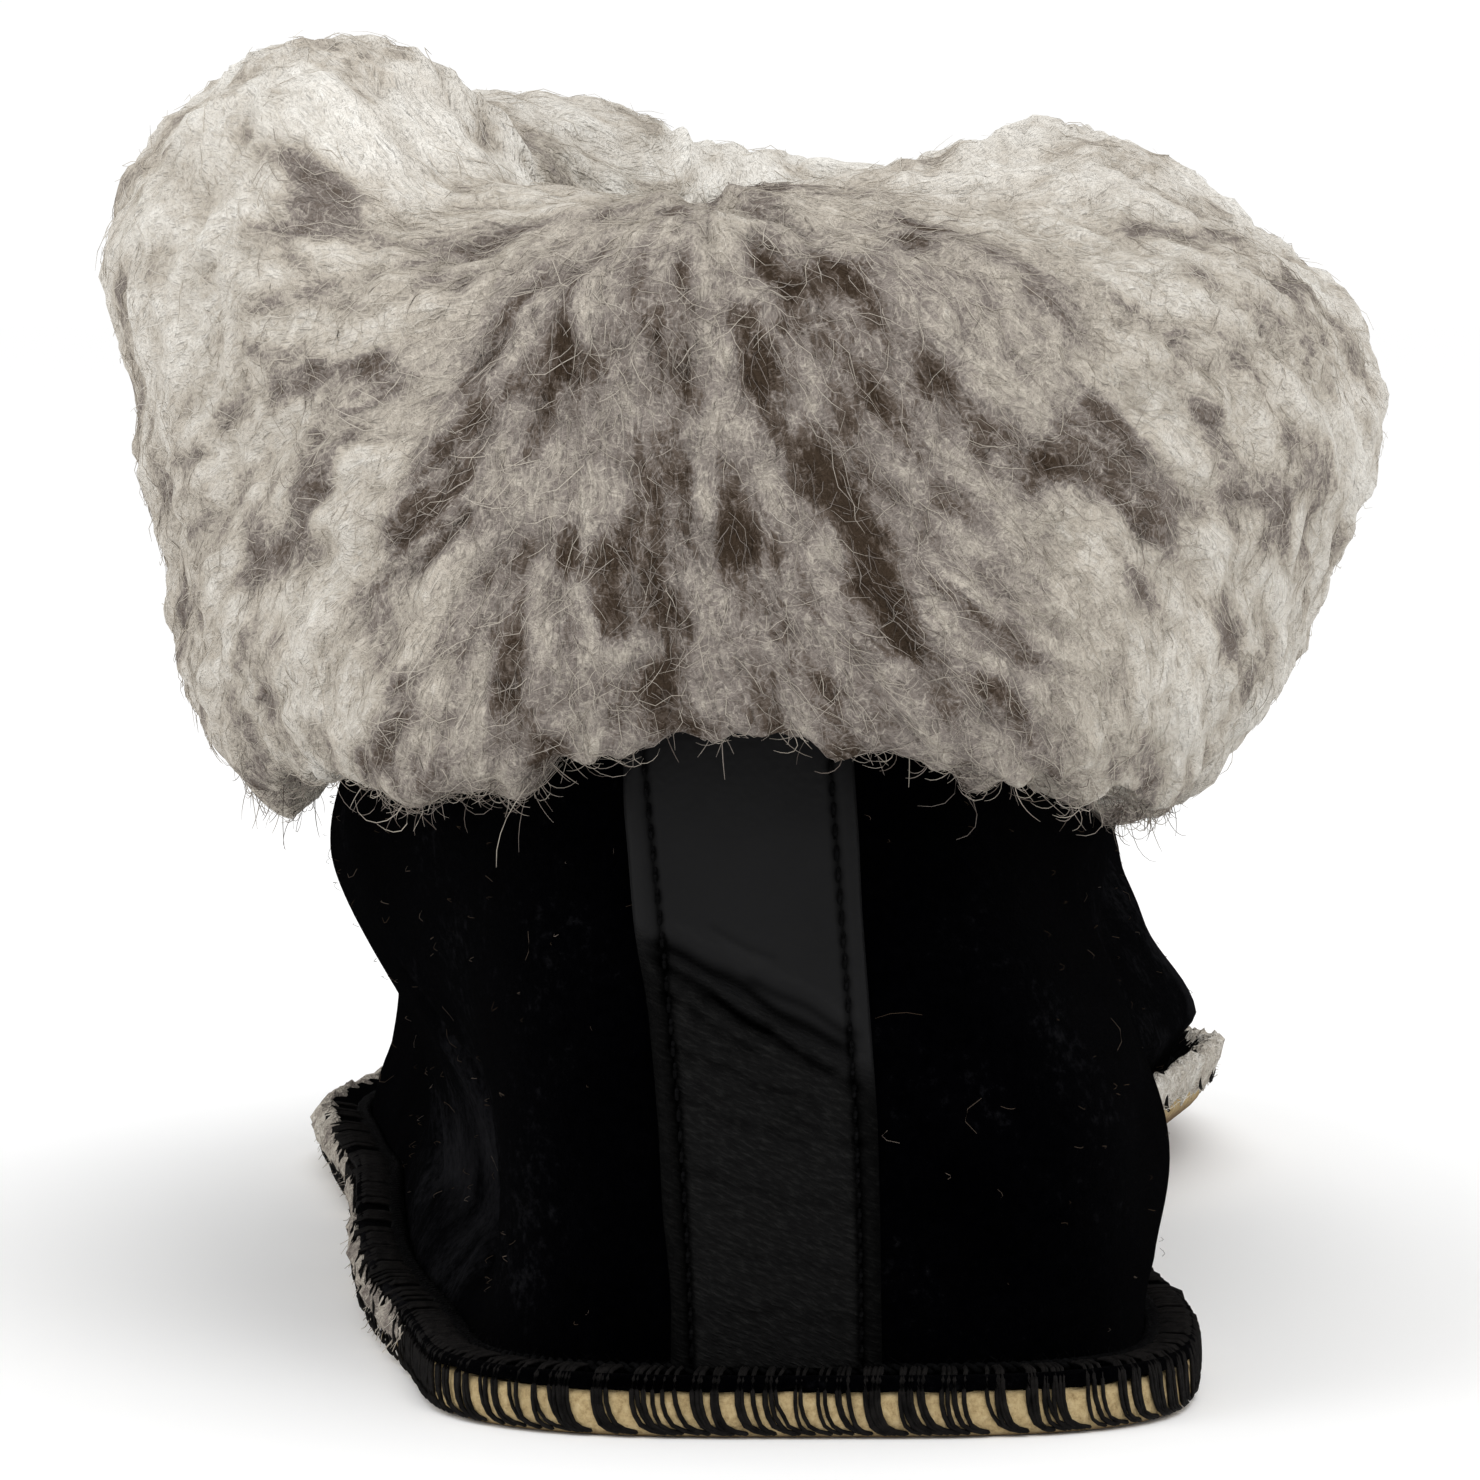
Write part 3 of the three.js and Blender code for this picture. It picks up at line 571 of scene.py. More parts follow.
def added(tree, first, second, share=1.0, clamp=False):
    """One value plus a share of another, kept from 0 to 1 where asked."""
    made = node(tree, "ShaderNodeMath", {"operation": "MULTIPLY_ADD", "use_clamp": clamp})
    tree.links.new(second, made.inputs[0])
    made.inputs[1].default_value = share
    tree.links.new(first, made.inputs[2])
    return made.outputs[0]


def scaled(tree, value, low, high, to_low, to_high, soft=False):
    """A value brought from one range to another, with soft ends where asked."""
    kind = "SMOOTHSTEP" if soft else "LINEAR"
    made = node(tree, "ShaderNodeMapRange", {"interpolation_type": kind}, Value=value)
    ends = {"From Min": low, "From Max": high, "To Min": to_low, "To Max": to_high}
    for key, number in ends.items():
        made.inputs[key].default_value = number
    return made.outputs[0]


def mixed(tree, share, first, second):
    """A colour that goes over from the first to the second as the share rises from 0 to 1."""
    made = node(tree, "ShaderNodeMix", {"data_type": "RGBA"})
    tree.links.new(share, made.inputs[0])
    tree.links.new(first, made.inputs[6])
    if isinstance(second, bpy.types.NodeSocket):
        tree.links.new(second, made.inputs[7])
    else:
        made.inputs[7].default_value = second
    return made.outputs[2]

# %% Ramps, bumps and colours
def ramp(tree, value, stops):
    """A colour ramp; stops are (position, (r, g, b)) in linear light."""
    made = node(tree, "ShaderNodeValToRGB", Fac=value)
    while len(made.color_ramp.elements) < len(stops):
        made.color_ramp.elements.new(0.5)
    for element, (position, colour) in zip(made.color_ramp.elements, stops):
        element.position = position
        element.color = (*colour, 1)
    return made.outputs["Color"]


def bump(tree, shader, height, distance, strength=1.0, after=None):
    """Bump from a height output; distance is the relief in metres."""
    made = node(tree, "ShaderNodeBump", Height=height, Distance=distance, Strength=strength)
    if after:
        tree.links.new(after.outputs["Normal"], made.inputs["Normal"])
    tree.links.new(made.outputs["Normal"], shader.inputs["Normal"])
    return made


def linear(red, green, blue):
    """A colour read off a picture, from 0 to 255, in linear light."""
    parts = np.array([red, green, blue]) / 255
    return tuple(np.where(parts <= 0.04045, parts / 12.92, ((parts + 0.055) / 1.055) ** 2.4))

# %% [markdown]
# ## Black suede
#
# Suede drinks nearly all light, so its black is almost zero. Its nap shows only as a slight
# mottling, and where the nap catches the light it looks grey, which is painted on as sheen. A noise
# of the nap's own size makes the mottling, and the upper carries an attribute for the painted
# sheen.

# %% The suede
# How much the painted sheen lightens the nap where the light catches it.
PAINTED_SHEEN_LIGHT = 0.12
suede, tree, shader = new_material("black_suede", 1.0, 0.0)
mottling = product(tree, noise(tree, 900, 6, 0.7), noise(tree, 60, 3))
# The nap's mottling, lightened by painted sheen where the light catches the nap.
lighter = added(tree, mottling, attribute(tree, "painted_nap_sheen"), PAINTED_SHEEN_LIGHT)
stops = [(0.15, linear(0.5, 0.5, 1)), (0.34, linear(2, 2, 3)), (0.6, linear(26, 26, 28))]
tree.links.new(ramp(tree, lighter, stops), shader.inputs["Base Color"])
shader.inputs["Sheen Weight"].default_value = 0.006
shader.inputs["Sheen Roughness"].default_value = 0.35
bump(tree, shader, noise(tree, 2500, 4, 0.8), 0.0003)

# %% [markdown]
# ## The strip's smooth leather
#
# The strip is as dark as the suede but smooth, with a dull gloss over a fine grain. Below the
# crease its finish is worn: duller, with fine slanting wrinkles. Shade in the stitches' grooves
# and in the creases is painted black, and the worn part darkens along its outer edges. The strip
# carries attributes for both, and flat coordinates for the wrinkles, so that they slant the same
# way all over it.

# %% The strip's leather
leather, tree, shader = new_material("strip_leather", 0.5, 0.13)
worn = attribute(tree, "worn")
# sunk carries painted shade, black in the stitches' grooves and the creases, and the worn part's
# darker outer edges.
sunk = attribute(tree, "sunk")
wrinkled = noise(tree, 1.0, 4, 0.7, attribute(tree, "flat", "Vector"))
smooth = ramp(tree, noise(tree, 90, 4), [(0.3, linear(8, 8, 9)), (0.7, linear(12, 12, 13))])
stops = [(0.3, linear(2, 2, 2)), (0.5, linear(12, 12, 12)), (0.72, linear(38, 38, 37))]
colour = mixed(tree, worn, smooth, ramp(tree, wrinkled, stops))
tree.links.new(mixed(tree, sunk, colour, (0, 0, 0, 1)), shader.inputs["Base Color"])
rough = scaled(tree, noise(tree, 260, 4), 0, 1, 0.42, 0.62)
tree.links.new(rough, shader.inputs["Roughness"])
gloss = added(tree, scaled(tree, worn, 0, 1, 0.106, 0.092), sunk, -0.09, True)
tree.links.new(gloss, shader.inputs["Specular IOR Level"])
grain = node(tree, "ShaderNodeTexVoronoi", {"feature": "SMOOTH_F1"}, Scale=1500.0, Randomness=1.0)
tree.links.new(node(tree, "ShaderNodeTexCoord").outputs["Object"], grain.inputs["Vector"])
pebbled = bump(tree, shader, grain.outputs["Distance"], 0.00004)
bump(tree, shader, product(tree, wrinkled, worn), 0.0023, after=pebbled)

# %% [markdown]
# ## Thread and tan leather
#
# The thread that binds the edge is a dull brown black, and the thread of the chain and of the
# strip is blacker. The sole's cut edge is tan fibre, and its underside is a darker, worn tan.

# %% Threads and the sole's leather
thread, tree, shader = new_material("thread", 0.85, 0.08)
colour = ramp(tree, noise(tree, 1200, 3), [(0.3, linear(7, 6, 6)), (0.7, linear(27, 25, 24))])
tree.links.new(colour, shader.inputs["Base Color"])
bump(tree, shader, noise(tree, 5000, 3, 0.7), 0.0002)

black_thread, tree, shader = new_material("black_thread", 0.9, 0.04)
colour = ramp(tree, noise(tree, 2400, 3), [(0.3, linear(2, 2, 2)), (0.7, linear(13, 13, 14))])
tree.links.new(colour, shader.inputs["Base Color"])
bump(tree, shader, noise(tree, 5000, 3, 0.7), 0.0002)

tan, tree, shader = new_material("tan_leather", 0.95, 0.1)
fibre = noise(tree, 1400, 6, 0.75)
stops = [(0.25, linear(128, 106, 72)), (0.5, linear(182, 160, 118)), (0.75, linear(205, 186, 146))]
edge_colour = ramp(tree, fibre, stops)
stops = [(0.3, linear(92, 72, 50)), (0.7, linear(128, 106, 80))]
under_colour = ramp(tree, noise(tree, 300, 5), stops)
colour = mixed(tree, attribute(tree, "underside"), edge_colour, under_colour)
tree.links.new(colour, shader.inputs["Base Color"])
bump(tree, shader, fibre, 0.0004)

# %% [markdown]
# ## Wool
#
# Wool takes its colour from a tone that every tuft and hair carries, from brown roots to cream.
# No mesh could hold every hair of the cuff, so the shader draws the finest ones: a noise that is
# averaged along the wool's lie turns into fibres, just as combing turns fluff into locks. The
# brown gaps break up along those fibres, and a web of thin curly lines lies over them.

# %% Fibres drawn from noise
def fibres(tree, place, scale, sharp):
    """A web of thin curly lines: where a noise crosses its middle value, drawn from 0 to 1."""
    value = noise(tree, scale, 1.0, 0.5, place)
    off = node(tree, "ShaderNodeMath", {"operation": "SUBTRACT"})
    tree.links.new(value, off.inputs[0])
    off.inputs[1].default_value = 0.5
    away = node(tree, "ShaderNodeMath", {"operation": "ABSOLUTE"})
    tree.links.new(off.outputs[0], away.inputs[0])
    return scaled(tree, away.outputs[0], 0, sharp, 1, 0, True)


def moved(tree, place, way, amount):
    """A place moved along a way by an amount."""
    made = node(tree, "ShaderNodeVectorMath", {"operation": "MULTIPLY_ADD"})
    tree.links.new(way, made.inputs[0])
    made.inputs[1].default_value = (amount, amount, amount)
    tree.links.new(place, made.inputs[2])
    return made.outputs[0]


def drawn_out(tree, place, way, scale, step, taps):
    """Noise averaged at even steps along the wool's lie, which draws it out into fibres."""
    total = None
    for k in range(taps):
        at = moved(tree, place, way, (k - (taps - 1) / 2) * step)
        value = noise(tree, scale, 1.0, 0.5, at)
        total = value if total is None else added(tree, total, value)
    return scaled(tree, total, taps * 0.40, taps * 0.60, 0, 1)


def swirl(tree, place, scale):
    """A soft noise with a number for each of three directions."""
    made = node(tree, "ShaderNodeTexNoise", Vector=place, Scale=scale, Detail=1.0)
    return made.outputs["Color"]


def waved(tree, place, way, scale, amount):
    """The wool's lie, bent this way and that by a soft noise."""
    centred = node(tree, "ShaderNodeVectorMath", {"operation": "SUBTRACT"})
    tree.links.new(swirl(tree, place, scale), centred.inputs[0])
    centred.inputs[1].default_value = (0.5, 0.5, 0.5)
    return moved(tree, way, centred.outputs[0], amount)

# %% The wool's tone on the locks
FINE_FIBRES = (3200, 0.00020, 6)
WIDE_FIBRES = (1300, 0.00042, 6)
STREAKS_LIGHT = 0.10
GAP_BREAK = 1.35
TONE_SHIFT = 0.215
WOOL_COLOURS = [
    (0.0, linear(60, 50, 41)),
    (0.22, linear(95, 85, 77)),
    (0.4, linear(133, 125, 119)),
    (0.6, linear(184, 176, 164)),
    (1.0, linear(234, 231, 224)),
]


def locks_tone(tree, shader, tone):
    """The tone of the locks: less the gaps' drop, plus fibres, a curly web and a soft mottling."""
    place = node(tree, "ShaderNodeTexCoord").outputs["Object"]
    way = attribute(tree, "lie_way", "Vector")
    fine = drawn_out(tree, place, waved(tree, place, way, 420, 2.2), *FINE_FIBRES)
    wide = drawn_out(tree, place, waved(tree, place, way, 160, 1.6), *WIDE_FIBRES)
    streaks = added(tree, fine, wide, 1.2)
    bump(tree, shader, streaks, 0.00028)
    broken = added(tree, attribute(tree, "gap"), streaks, GAP_BREAK)
    depth = scaled(tree, broken, 1.2, 4.1, 0, 1, True)
    tone = added(tree, tone, product(tree, depth, attribute(tree, "drop")), -1.0)
    tone = added(tree, tone, streaks, STREAKS_LIGHT)
    bent = moved(tree, place, swirl(tree, place, 380.0), 0.0042)
    web = added(tree, fibres(tree, bent, 700.0, 0.045), fibres(tree, bent, 1500.0, 0.06), 0.7)
    web_share = scaled(tree, tone, 0.25, 0.75, 0.16, 0.04)
    tone = added(tree, tone, product(tree, web, web_share))
    tone = added(tree, tone, noise(tree, 520, 3, 0.6), 0.22)
    darker = node(tree, "ShaderNodeMath", {"operation": "SUBTRACT"})
    tree.links.new(tone, darker.inputs[0])
    darker.inputs[1].default_value = TONE_SHIFT
    return darker.outputs[0]

# %% Wool for locks, and wool for single hairs
def wool_material(name, on_locks):
    """Wool: its colour follows the tone of each lock or hair."""
    made, tree, shader = new_material(name, 1.0, 0.0)
    tone = attribute(tree, "tone")
    if on_locks:
        tone = locks_tone(tree, shader, tone)
    tree.links.new(ramp(tree, tone, WOOL_COLOURS), shader.inputs["Base Color"])
    return made


wool_base = wool_material("wool_base", True)
wool_hair = wool_material("wool_hair", False)
print("finishes:", ", ".join(made.name for made in bpy.data.materials))

# %% [markdown]
# ## The outsole
#
# The sole is one piece of split leather cut to the outline plus the seam's margin. It is a slab
# of rings: flat underneath, rounded at its lower corner, with a rough cut edge, and a step inside
# the rim where the footbed lies.

# %% Outsole
EDGE_ROUND = 1.4
SOLE_LEATHER = 2.4
turns, seam_length = even_turns(560)
sole_rings = [
    (-CURL_REACH, 0, 1),
    (-CURL_REACH / 2, 0, 1),
    (0, 0, 1),
    (SEAM_WIDTH - EDGE_ROUND, 0, 1),
    (SEAM_WIDTH - EDGE_ROUND * 0.62, EDGE_ROUND * 0.08, 0.8),
    (SEAM_WIDTH - EDGE_ROUND * 0.3, EDGE_ROUND * 0.3, 0.3),
    (SEAM_WIDTH - EDGE_ROUND * 0.08, EDGE_ROUND * 0.62, 0),
    (SEAM_WIDTH, EDGE_ROUND, 0),
    (SEAM_WIDTH + 0.1, SOLE_EDGE * 0.55, 0),
    (SEAM_WIDTH, SOLE_EDGE * 0.85, 0),
    (SEAM_WIDTH - 0.3, SOLE_EDGE, 0),
    (SEAM_WIDTH * 0.5, SOLE_EDGE - SEAM_DIP * 0.5, 0),
    (0, SOLE_EDGE - SEAM_DIP, 0),
    (-SKIN, SOLE_EDGE - SEAM_DIP, 0),
    (-SKIN - CLEARANCE, SOLE_LEATHER, 0),
    (-CURL_REACH / 2, SOLE_LEATHER, 0),
    (-CURL_REACH, SOLE_LEATHER, 0),
]
sole = np.stack([outline_ring(turns, np.full(len(turns), out), up) for out, up, _ in sole_rings])
edge_wear = (soft_noise(sole * 0.9, 3) - 0.5) * 0.3
sole[6:11] += normals_of(sole, False)[6:11] * edge_wear[6:11, :, None]
make_piece(
    "sole_leather",
    sole,
    slab_faces(*sole.shape[:2]),
    tan,
    stands_for=["outsole"],
    values={"underside": np.repeat([mark for _, _, mark in sole_rings], len(turns))},
)

# %% [markdown]
# ## The suede upper
#
# One skin makes the whole upper: its outer wall, the margin that turns out over the sole, and the
# inner wall. Worn-in folds are laid on one by one. Each fold is a line from one place to another,
# given by turn and height; the skin sinks along the line and swells a little beside it.

# %% Folds as soft troughs
FOLDS = columns("""
turn height toTurn toHeight width depth
-60  37     -46    26       2.6   1.6
-46  26     -39    7        2.8   2.0
-72  30     -66    9        3.0   1.1
-30  24     -18    14       3.4   0.5
24   20     52     33       4.5   0.7
34   11     66     16       4.0   0.6
150  62     96     43       3.6   2.0
156  52     104    30       3.2   1.7
164  45     124    21       3.4   1.1
-150 62     -98    44       3.6   2.0
-157 51     -106   31       3.2   1.6
-165 44     -126   22       3.4   1.0
176  41     160    27       3.0   0.7
-172 40     -158   28       3.0   0.7
100  20     118    12       3.6   0.7
-84  52     -70    60       3.6   0.9
""")


def folded(points, table, surface):
    """How far folds push the points out: a trough along each line and a swell at its sides."""
    push = np.zeros(points.shape[:-1])
    for k in range(len(table["turn"])):
        share = np.linspace(0, 1, 9)
        turn = np.radians(table["turn"][k] + (table["toTurn"][k] - table["turn"][k]) * share)
        height = table["height"][k] + (table["toHeight"][k] - table["height"][k]) * share
        path = surface(turn, height)
        width = table["width"][k]
        near = np.full(push.shape, 1e9)
        where = np.zeros(push.shape)
        for j in range(8):
            reach = path[j + 1] - path[j]
            t = np.clip((points - path[j]) @ reach / (reach @ reach), 0, 1)
            far = np.linalg.norm(points - path[j] - t[..., None] * reach, axis=-1)
            closer = far < near
            near = np.where(closer, far, near)
            where = np.where(closer, (j + t) / 8, where)
        fade = np.sin(np.pi * np.clip(where, 0.02, 0.98)) ** 0.6
        trough = np.exp(-((near / width) ** 2))
        swell = np.exp(-(((near - 1.9 * width) / width) ** 2))
        push += table["depth"][k] * fade * (0.45 * swell - trough)
    return push

# %% The wall, the turned-out margin and the inner wall
WALL_COLUMNS = 340
wall_turns, _ = even_turns(WALL_COLUMNS)
levels = np.linspace(1, 0, 84)[:, None]
wall = upper(wall_turns, levels)
out = -normals_of(wall, False)
if (out[40, :, 0] * wall[40, :, 0]).sum() < 0:
    out = -out
push = folded(wall, FOLDS, lambda turn, height: upper(turn, level_at(turn, height)))
push = push * np.minimum(1, levels / 0.05) * smooth_step(1 - levels, -0.1, 0.1)
push = push + (soft_noise(wall / 14, 5) - 0.5) * 0.7 * np.minimum(1, levels / 0.1)
skin = wall + out * push[..., None]
inner = (skin - out * SKIN)[::-1][5::6]
top = SEAM_UNDERSIDE + SEAM_SKIN
margin_rings = [
    (0.35, top - SEAM_DIP + 0.02),
    (SEAM_WIDTH * 0.3, top - SEAM_DIP * 0.75),
    (SEAM_WIDTH * 0.6, top - SEAM_DIP * 0.4),
    (SEAM_WIDTH * 0.93, top - 0.05),
    (SEAM_WIDTH, top - 0.35),
    (SEAM_WIDTH + 0.2, SEAM_UNDERSIDE + 0.2),
    (SEAM_WIDTH * 0.9, SEAM_UNDERSIDE - 0.1),
    (SEAM_WIDTH * 0.5, SEAM_UNDERSIDE - SEAM_DIP * 0.5),
    (0, SEAM_UNDERSIDE - SEAM_DIP),
    (-SKIN, SEAM_UNDERSIDE - SEAM_DIP),
]
margin = np.stack(
    [outline_ring(wall_turns, np.full(WALL_COLUMNS, by), up) for by, up in margin_rings]
)
ragged = (soft_noise(margin[4] / 1.0, 7) - 0.62) * 1.5
margin[4:7, :, 2] += ragged * np.array([0.3, 1.0, 0.7])[:, None]

# %% Painted sheen on the nap, and the suede piece
PAINTED_SHEEN_SPOTS = columns("""
turn height turnSpread heightSpread push
-50  19     9          14           2.1
-64  12     12         9            1.6
114  20     22         12           1.4
""")
shell = np.concatenate([skin, margin, inner])
# Painted sheen: soft spots where the nap catches the light, mottled by a noise.
painted_nap_sheen = soft_spots(PAINTED_SHEEN_SPOTS, wall_turns, "height", shell[..., 2])
mottled = 0.4 + 1.2 * soft_noise(shell / 5, 9)
make_piece(
    "suede_upper",
    shell,
    band_faces(*shell.shape[:2]),
    suede,
    stands_for=["upper"],
    values={"painted_nap_sheen": (painted_nap_sheen * mottled).ravel()},
)

# %% [markdown]
# ## The strip on the back seam
#
# The strip is cut from smooth leather and stitched down both edges. It lies on the suede, so each
# of its points is found on the upper: the same height, and as far to the side as the strip's own
# width says. Its ring is a flat oval with pressed edges, and its lower half is creased where the
# heel bends.

# %% The strip's sizes and creases
STRIP_WIDTH = 21.5
STRIP_FOOT_WIDTH = 19.5
STRIP_LEATHER = 1.2
STITCH_INSET = 2.1
CREASES = columns("""
across height toAcross toHeight width depth
-9.8   45.6   9.0      34.6    0.75   0.40
-9.6   43.6   1.5      36.6    0.60   0.34
-1.5   41.6   9.4      36.4    0.60   0.26
-6.0   40.4   7.0      33.0    0.45   0.20
-9.0   40.4   0.0      34.8    0.45   0.16
-4.0   46.6   2.0      42.8    0.40   0.10
0.0    37.4   9.4      31.4    0.50   0.16
-9.2   35.6   5.0      30.4    0.50   0.12
-9.0   31.6   4.0      26.4    0.50   0.10
1.0    29.8   9.2      26.4    0.50   0.10
-9.0   24.6   9.0      20.2    0.60   0.09
-4.0   17.0   8.8      14.2    0.50   0.08
-8.6   11.4   8.6      11.0    0.60   0.08
""")

# %% Places on the heel
def turn_across(across, level):
    """The turn at which the upper lies a distance to the side of its back line, by halving."""
    middle = upper(np.zeros_like(level), level)[..., 0]
    low = np.full(np.broadcast(across, level).shape, -0.8)
    high = -low
    for _ in range(26):
        turn = (low + high) / 2
        short = upper(turn, level)[..., 0] - middle < across
        low = np.where(short, turn, low)
        high = np.where(short, high, turn)
    return (low + high) / 2


def on_heel(across, level, off):
    """A point off the suede beside the back line, and the direction that it is off in."""
    turn = turn_across(across, level)
    step = 0.02
    round_it = upper(turn + step, level) - upper(turn - step, level)
    up = upper(turn, level + step) - upper(turn, level - step)
    away = np.cross(round_it, up)
    away /= np.linalg.norm(away, axis=-1, keepdims=True)
    return upper(turn, level) + away * np.asarray(off)[..., None], away

# %% The strip's outline and relief
strip_levels = np.linspace(0.012, 0.9, 240)[:, None]
share = np.concatenate([np.linspace(-1, 1, 61), np.linspace(0.96, -0.96, 23)])[None]
is_front = np.concatenate([np.ones(61), np.zeros(23)])[None]
half = (STRIP_FOOT_WIDTH + (STRIP_WIDTH - STRIP_FOOT_WIDTH) * strip_levels) / 2
uneven = soft_noise(stack(strip_levels * 11 + 0 * share, np.sign(share) * 9.0), 8)
edge = (uneven - 0.5) * 0.8
across = share * half + np.sign(share) * np.abs(share) ** 8 * edge
height = upper_height(0 * strip_levels, strip_levels)
rise = 1 - np.abs(share) ** 14 * 0.55
from_middle = np.abs(share) * half
sunk = np.exp(-(((from_middle - (half - STITCH_INSET)) / 0.45) ** 2)) * 0.22
swell = np.exp(-(((from_middle - (half - 1.0)) / 0.8) ** 2)) * 0.12
line = np.exp(-(((from_middle - (half - STITCH_INSET)) / 0.34) ** 2))
# The worn part is darker along the strip's outer edges, outside the stitches.
darker_at_edges = smooth_step(from_middle - (half - 2.4), 0, 0.8)
# shadow is painted shade: black in the stitches' grooves, and below in the creases.
shadow = 0.85 * line
for k in range(len(CREASES["across"])):
    start = np.array([CREASES["across"][k], CREASES["height"][k]])
    reach = np.array([CREASES["toAcross"][k], CREASES["toHeight"][k]]) - start
    t = ((across - start[0]) * reach[0] + (height - start[1]) * reach[1]) / (reach @ reach)
    wave = 0.3 * np.sin(across * 0.45 + 2 * k) + 0.16 * np.sin(across * 1.1 + 3 * k)
    off_line = (across - start[0]) * reach[1] - (height + wave - start[1]) * reach[0]
    far = np.abs(off_line) / np.linalg.norm(reach)
    fade = smooth_step(t, -0.02, 0.12) * smooth_step(1 - t, -0.02, 0.12)
    width = CREASES["width"][k]
    dip = np.exp(-((far / width) ** 2)) - 0.6 * np.exp(-(((far - 2 * width) / width) ** 2))
    sunk = sunk + CREASES["depth"][k] * fade * dip
    shadow = shadow + CREASES["depth"][k] * 2.4 * fade * np.exp(-((far / (0.8 * width)) ** 2))
worn = smooth_step(38.5 - 0.62 * across - height, -2.5, 3.5) + 0 * share
slanting = soft_noise(stack(across / 1.3 + height / 2.6, height / 0.7 + across / 2.4), 11)
pebble = (slanting - 0.5) * 0.2 * worn
pebble = pebble + (soft_noise(stack(across / 0.7, height / 0.6), 12) - 0.5) * 0.1 * worn
front = STRIP_LEATHER * rise - sunk + swell + pebble
off = CLEARANCE * 1.5 + np.where(is_front > 0, front, 0)

# %% The strip laid on the heel
strip, away = on_heel(across, strip_levels, off)
slanted = height + 0.45 * across
flat = stack(across * 0.8, slanted * 2.6, is_front * 3.0 + 0 * across)
make_piece(
    "seam_strip",
    strip,
    slab_faces(*strip.shape[:2]),
    leather,
    stands_for=["heel_strip"],
    values={
        "worn": np.clip(worn, 0, 1).ravel(),
        # painted shade in the grooves and creases, plus the worn part's darker outer edges
        "sunk": np.clip(shadow + 0.55 * darker_at_edges * worn, 0, 1).ravel(),
        "flat": flat.reshape(-1, 3),
    },
)
print("strip's lowest point:", strip[..., 2].min().round(1))

# %% [markdown]
# ## The fleece cuff
#
# The top of the shaft is folded down with its wool outside. In section the cuff runs from its
# cut edge, out and up round a full belly of wool, over the fold, and down inside the ankle. Two
# short tables draw that section, and a third says how it changes round the ankle, where the wool
# stands in two humps with a low place between them at the back. The surface is then one smooth
# skin through all the sections.

# %% Tables of the cuff's section
CUFF_PROUD = 24
CUFF_RISE = 22
CUFF_FALL = 44
LINING_PILE = 9
LINING_FALL = 30
CUFF_ROUND = columns("""
turn rise proud fall
0    0.50 0.84  0.84
30   0.66 0.90  0.98
52   0.84 0.98  1.06
72   0.76 1.02  1.13
96   0.68 1.00  1.08
130  0.62 0.92  0.90
158  0.68 0.84  0.76
180  0.75 0.80  0.70
212  1.02 0.86  0.80
238  0.88 0.94  0.92
262  1.06 1.00  0.98
288  1.16 1.02  1.00
311  1.12 0.96  0.99
328  0.60 0.90  0.97
360  0.50 0.84  0.84
""")
CUFF_OUTSIDE = columns("""
up    outer inner
-0.94 0.18  0.20
-1.00 0.46  0.52
-0.91 0.66  0.78
-0.75 0.76  0.97
-0.53 0.81  1.10
-0.28 0.85  1.20
-0.02 0.90  1.14
0.24  0.94  0.98
0.62  0.80  0.66
0.92  0.50  0.30
1.00  0.10  0.02
""")
CUFF_INSIDE = columns("""
down  inward
-0.80 0.50
-0.38 0.92
0.15  1.05
0.60  1.00
1.00  0.70
""")
CUFF_COLUMNS = 480
CUFF_ROWS = 160

# %% Sections of the cuff round the ankle
def shaft_out(turn):
    """The direction away from the ankle's oval at a turn."""
    away = stack(np.sin(turn) / SHAFT_WIDTH, -np.cos(turn) / SHAFT_LENGTH, 0 * turn)
    return away / np.linalg.norm(away, axis=-1, keepdims=True)


def beside_shaft(turn, height, off):
    """Points off the shaft's face by a distance; height is above the shaft's top."""
    top = SHAFT_HEIGHT + height
    level = np.where(height < 0, level_at(turn, np.minimum(top, SHAFT_HEIGHT - 0.01)), 1)
    point = upper(turn, level) + shaft_out(turn) * np.asarray(off)[..., None]
    return stack(point[..., 0], point[..., 1], top)


def cuff_sections(turn):
    """The cuff's rings at each row of the two tables, from the cut edge over the fold to inside."""
    degrees = np.degrees(turn) % 360
    rise = curve(CUFF_ROUND, "turn", "rise", degrees)
    proud = curve(CUFF_ROUND, "turn", "proud", degrees)
    fall = curve(CUFF_ROUND, "turn", "fall", degrees)
    up = CUFF_OUTSIDE["up"][:, None]
    outer = CUFF_OUTSIDE["outer"][:, None]
    inner = CUFF_OUTSIDE["inner"][:, None]
    out = outer + (inner - outer) * (1 + np.sin(turn)) / 2
    height = up * np.where(up > 0, CUFF_RISE * rise, CUFF_FALL * fall)
    outside = beside_shaft(turn + 0 * up, height, out * CUFF_PROUD * proud)
    down = CUFF_INSIDE["down"][:, None]
    inward = SKIN + CLEARANCE + CUFF_INSIDE["inward"][:, None] * LINING_PILE
    height = -down * np.where(down > 0, LINING_FALL, CUFF_RISE * rise)
    return np.concatenate([outside, beside_shaft(turn + 0 * down, height, -inward + 0 * height)])

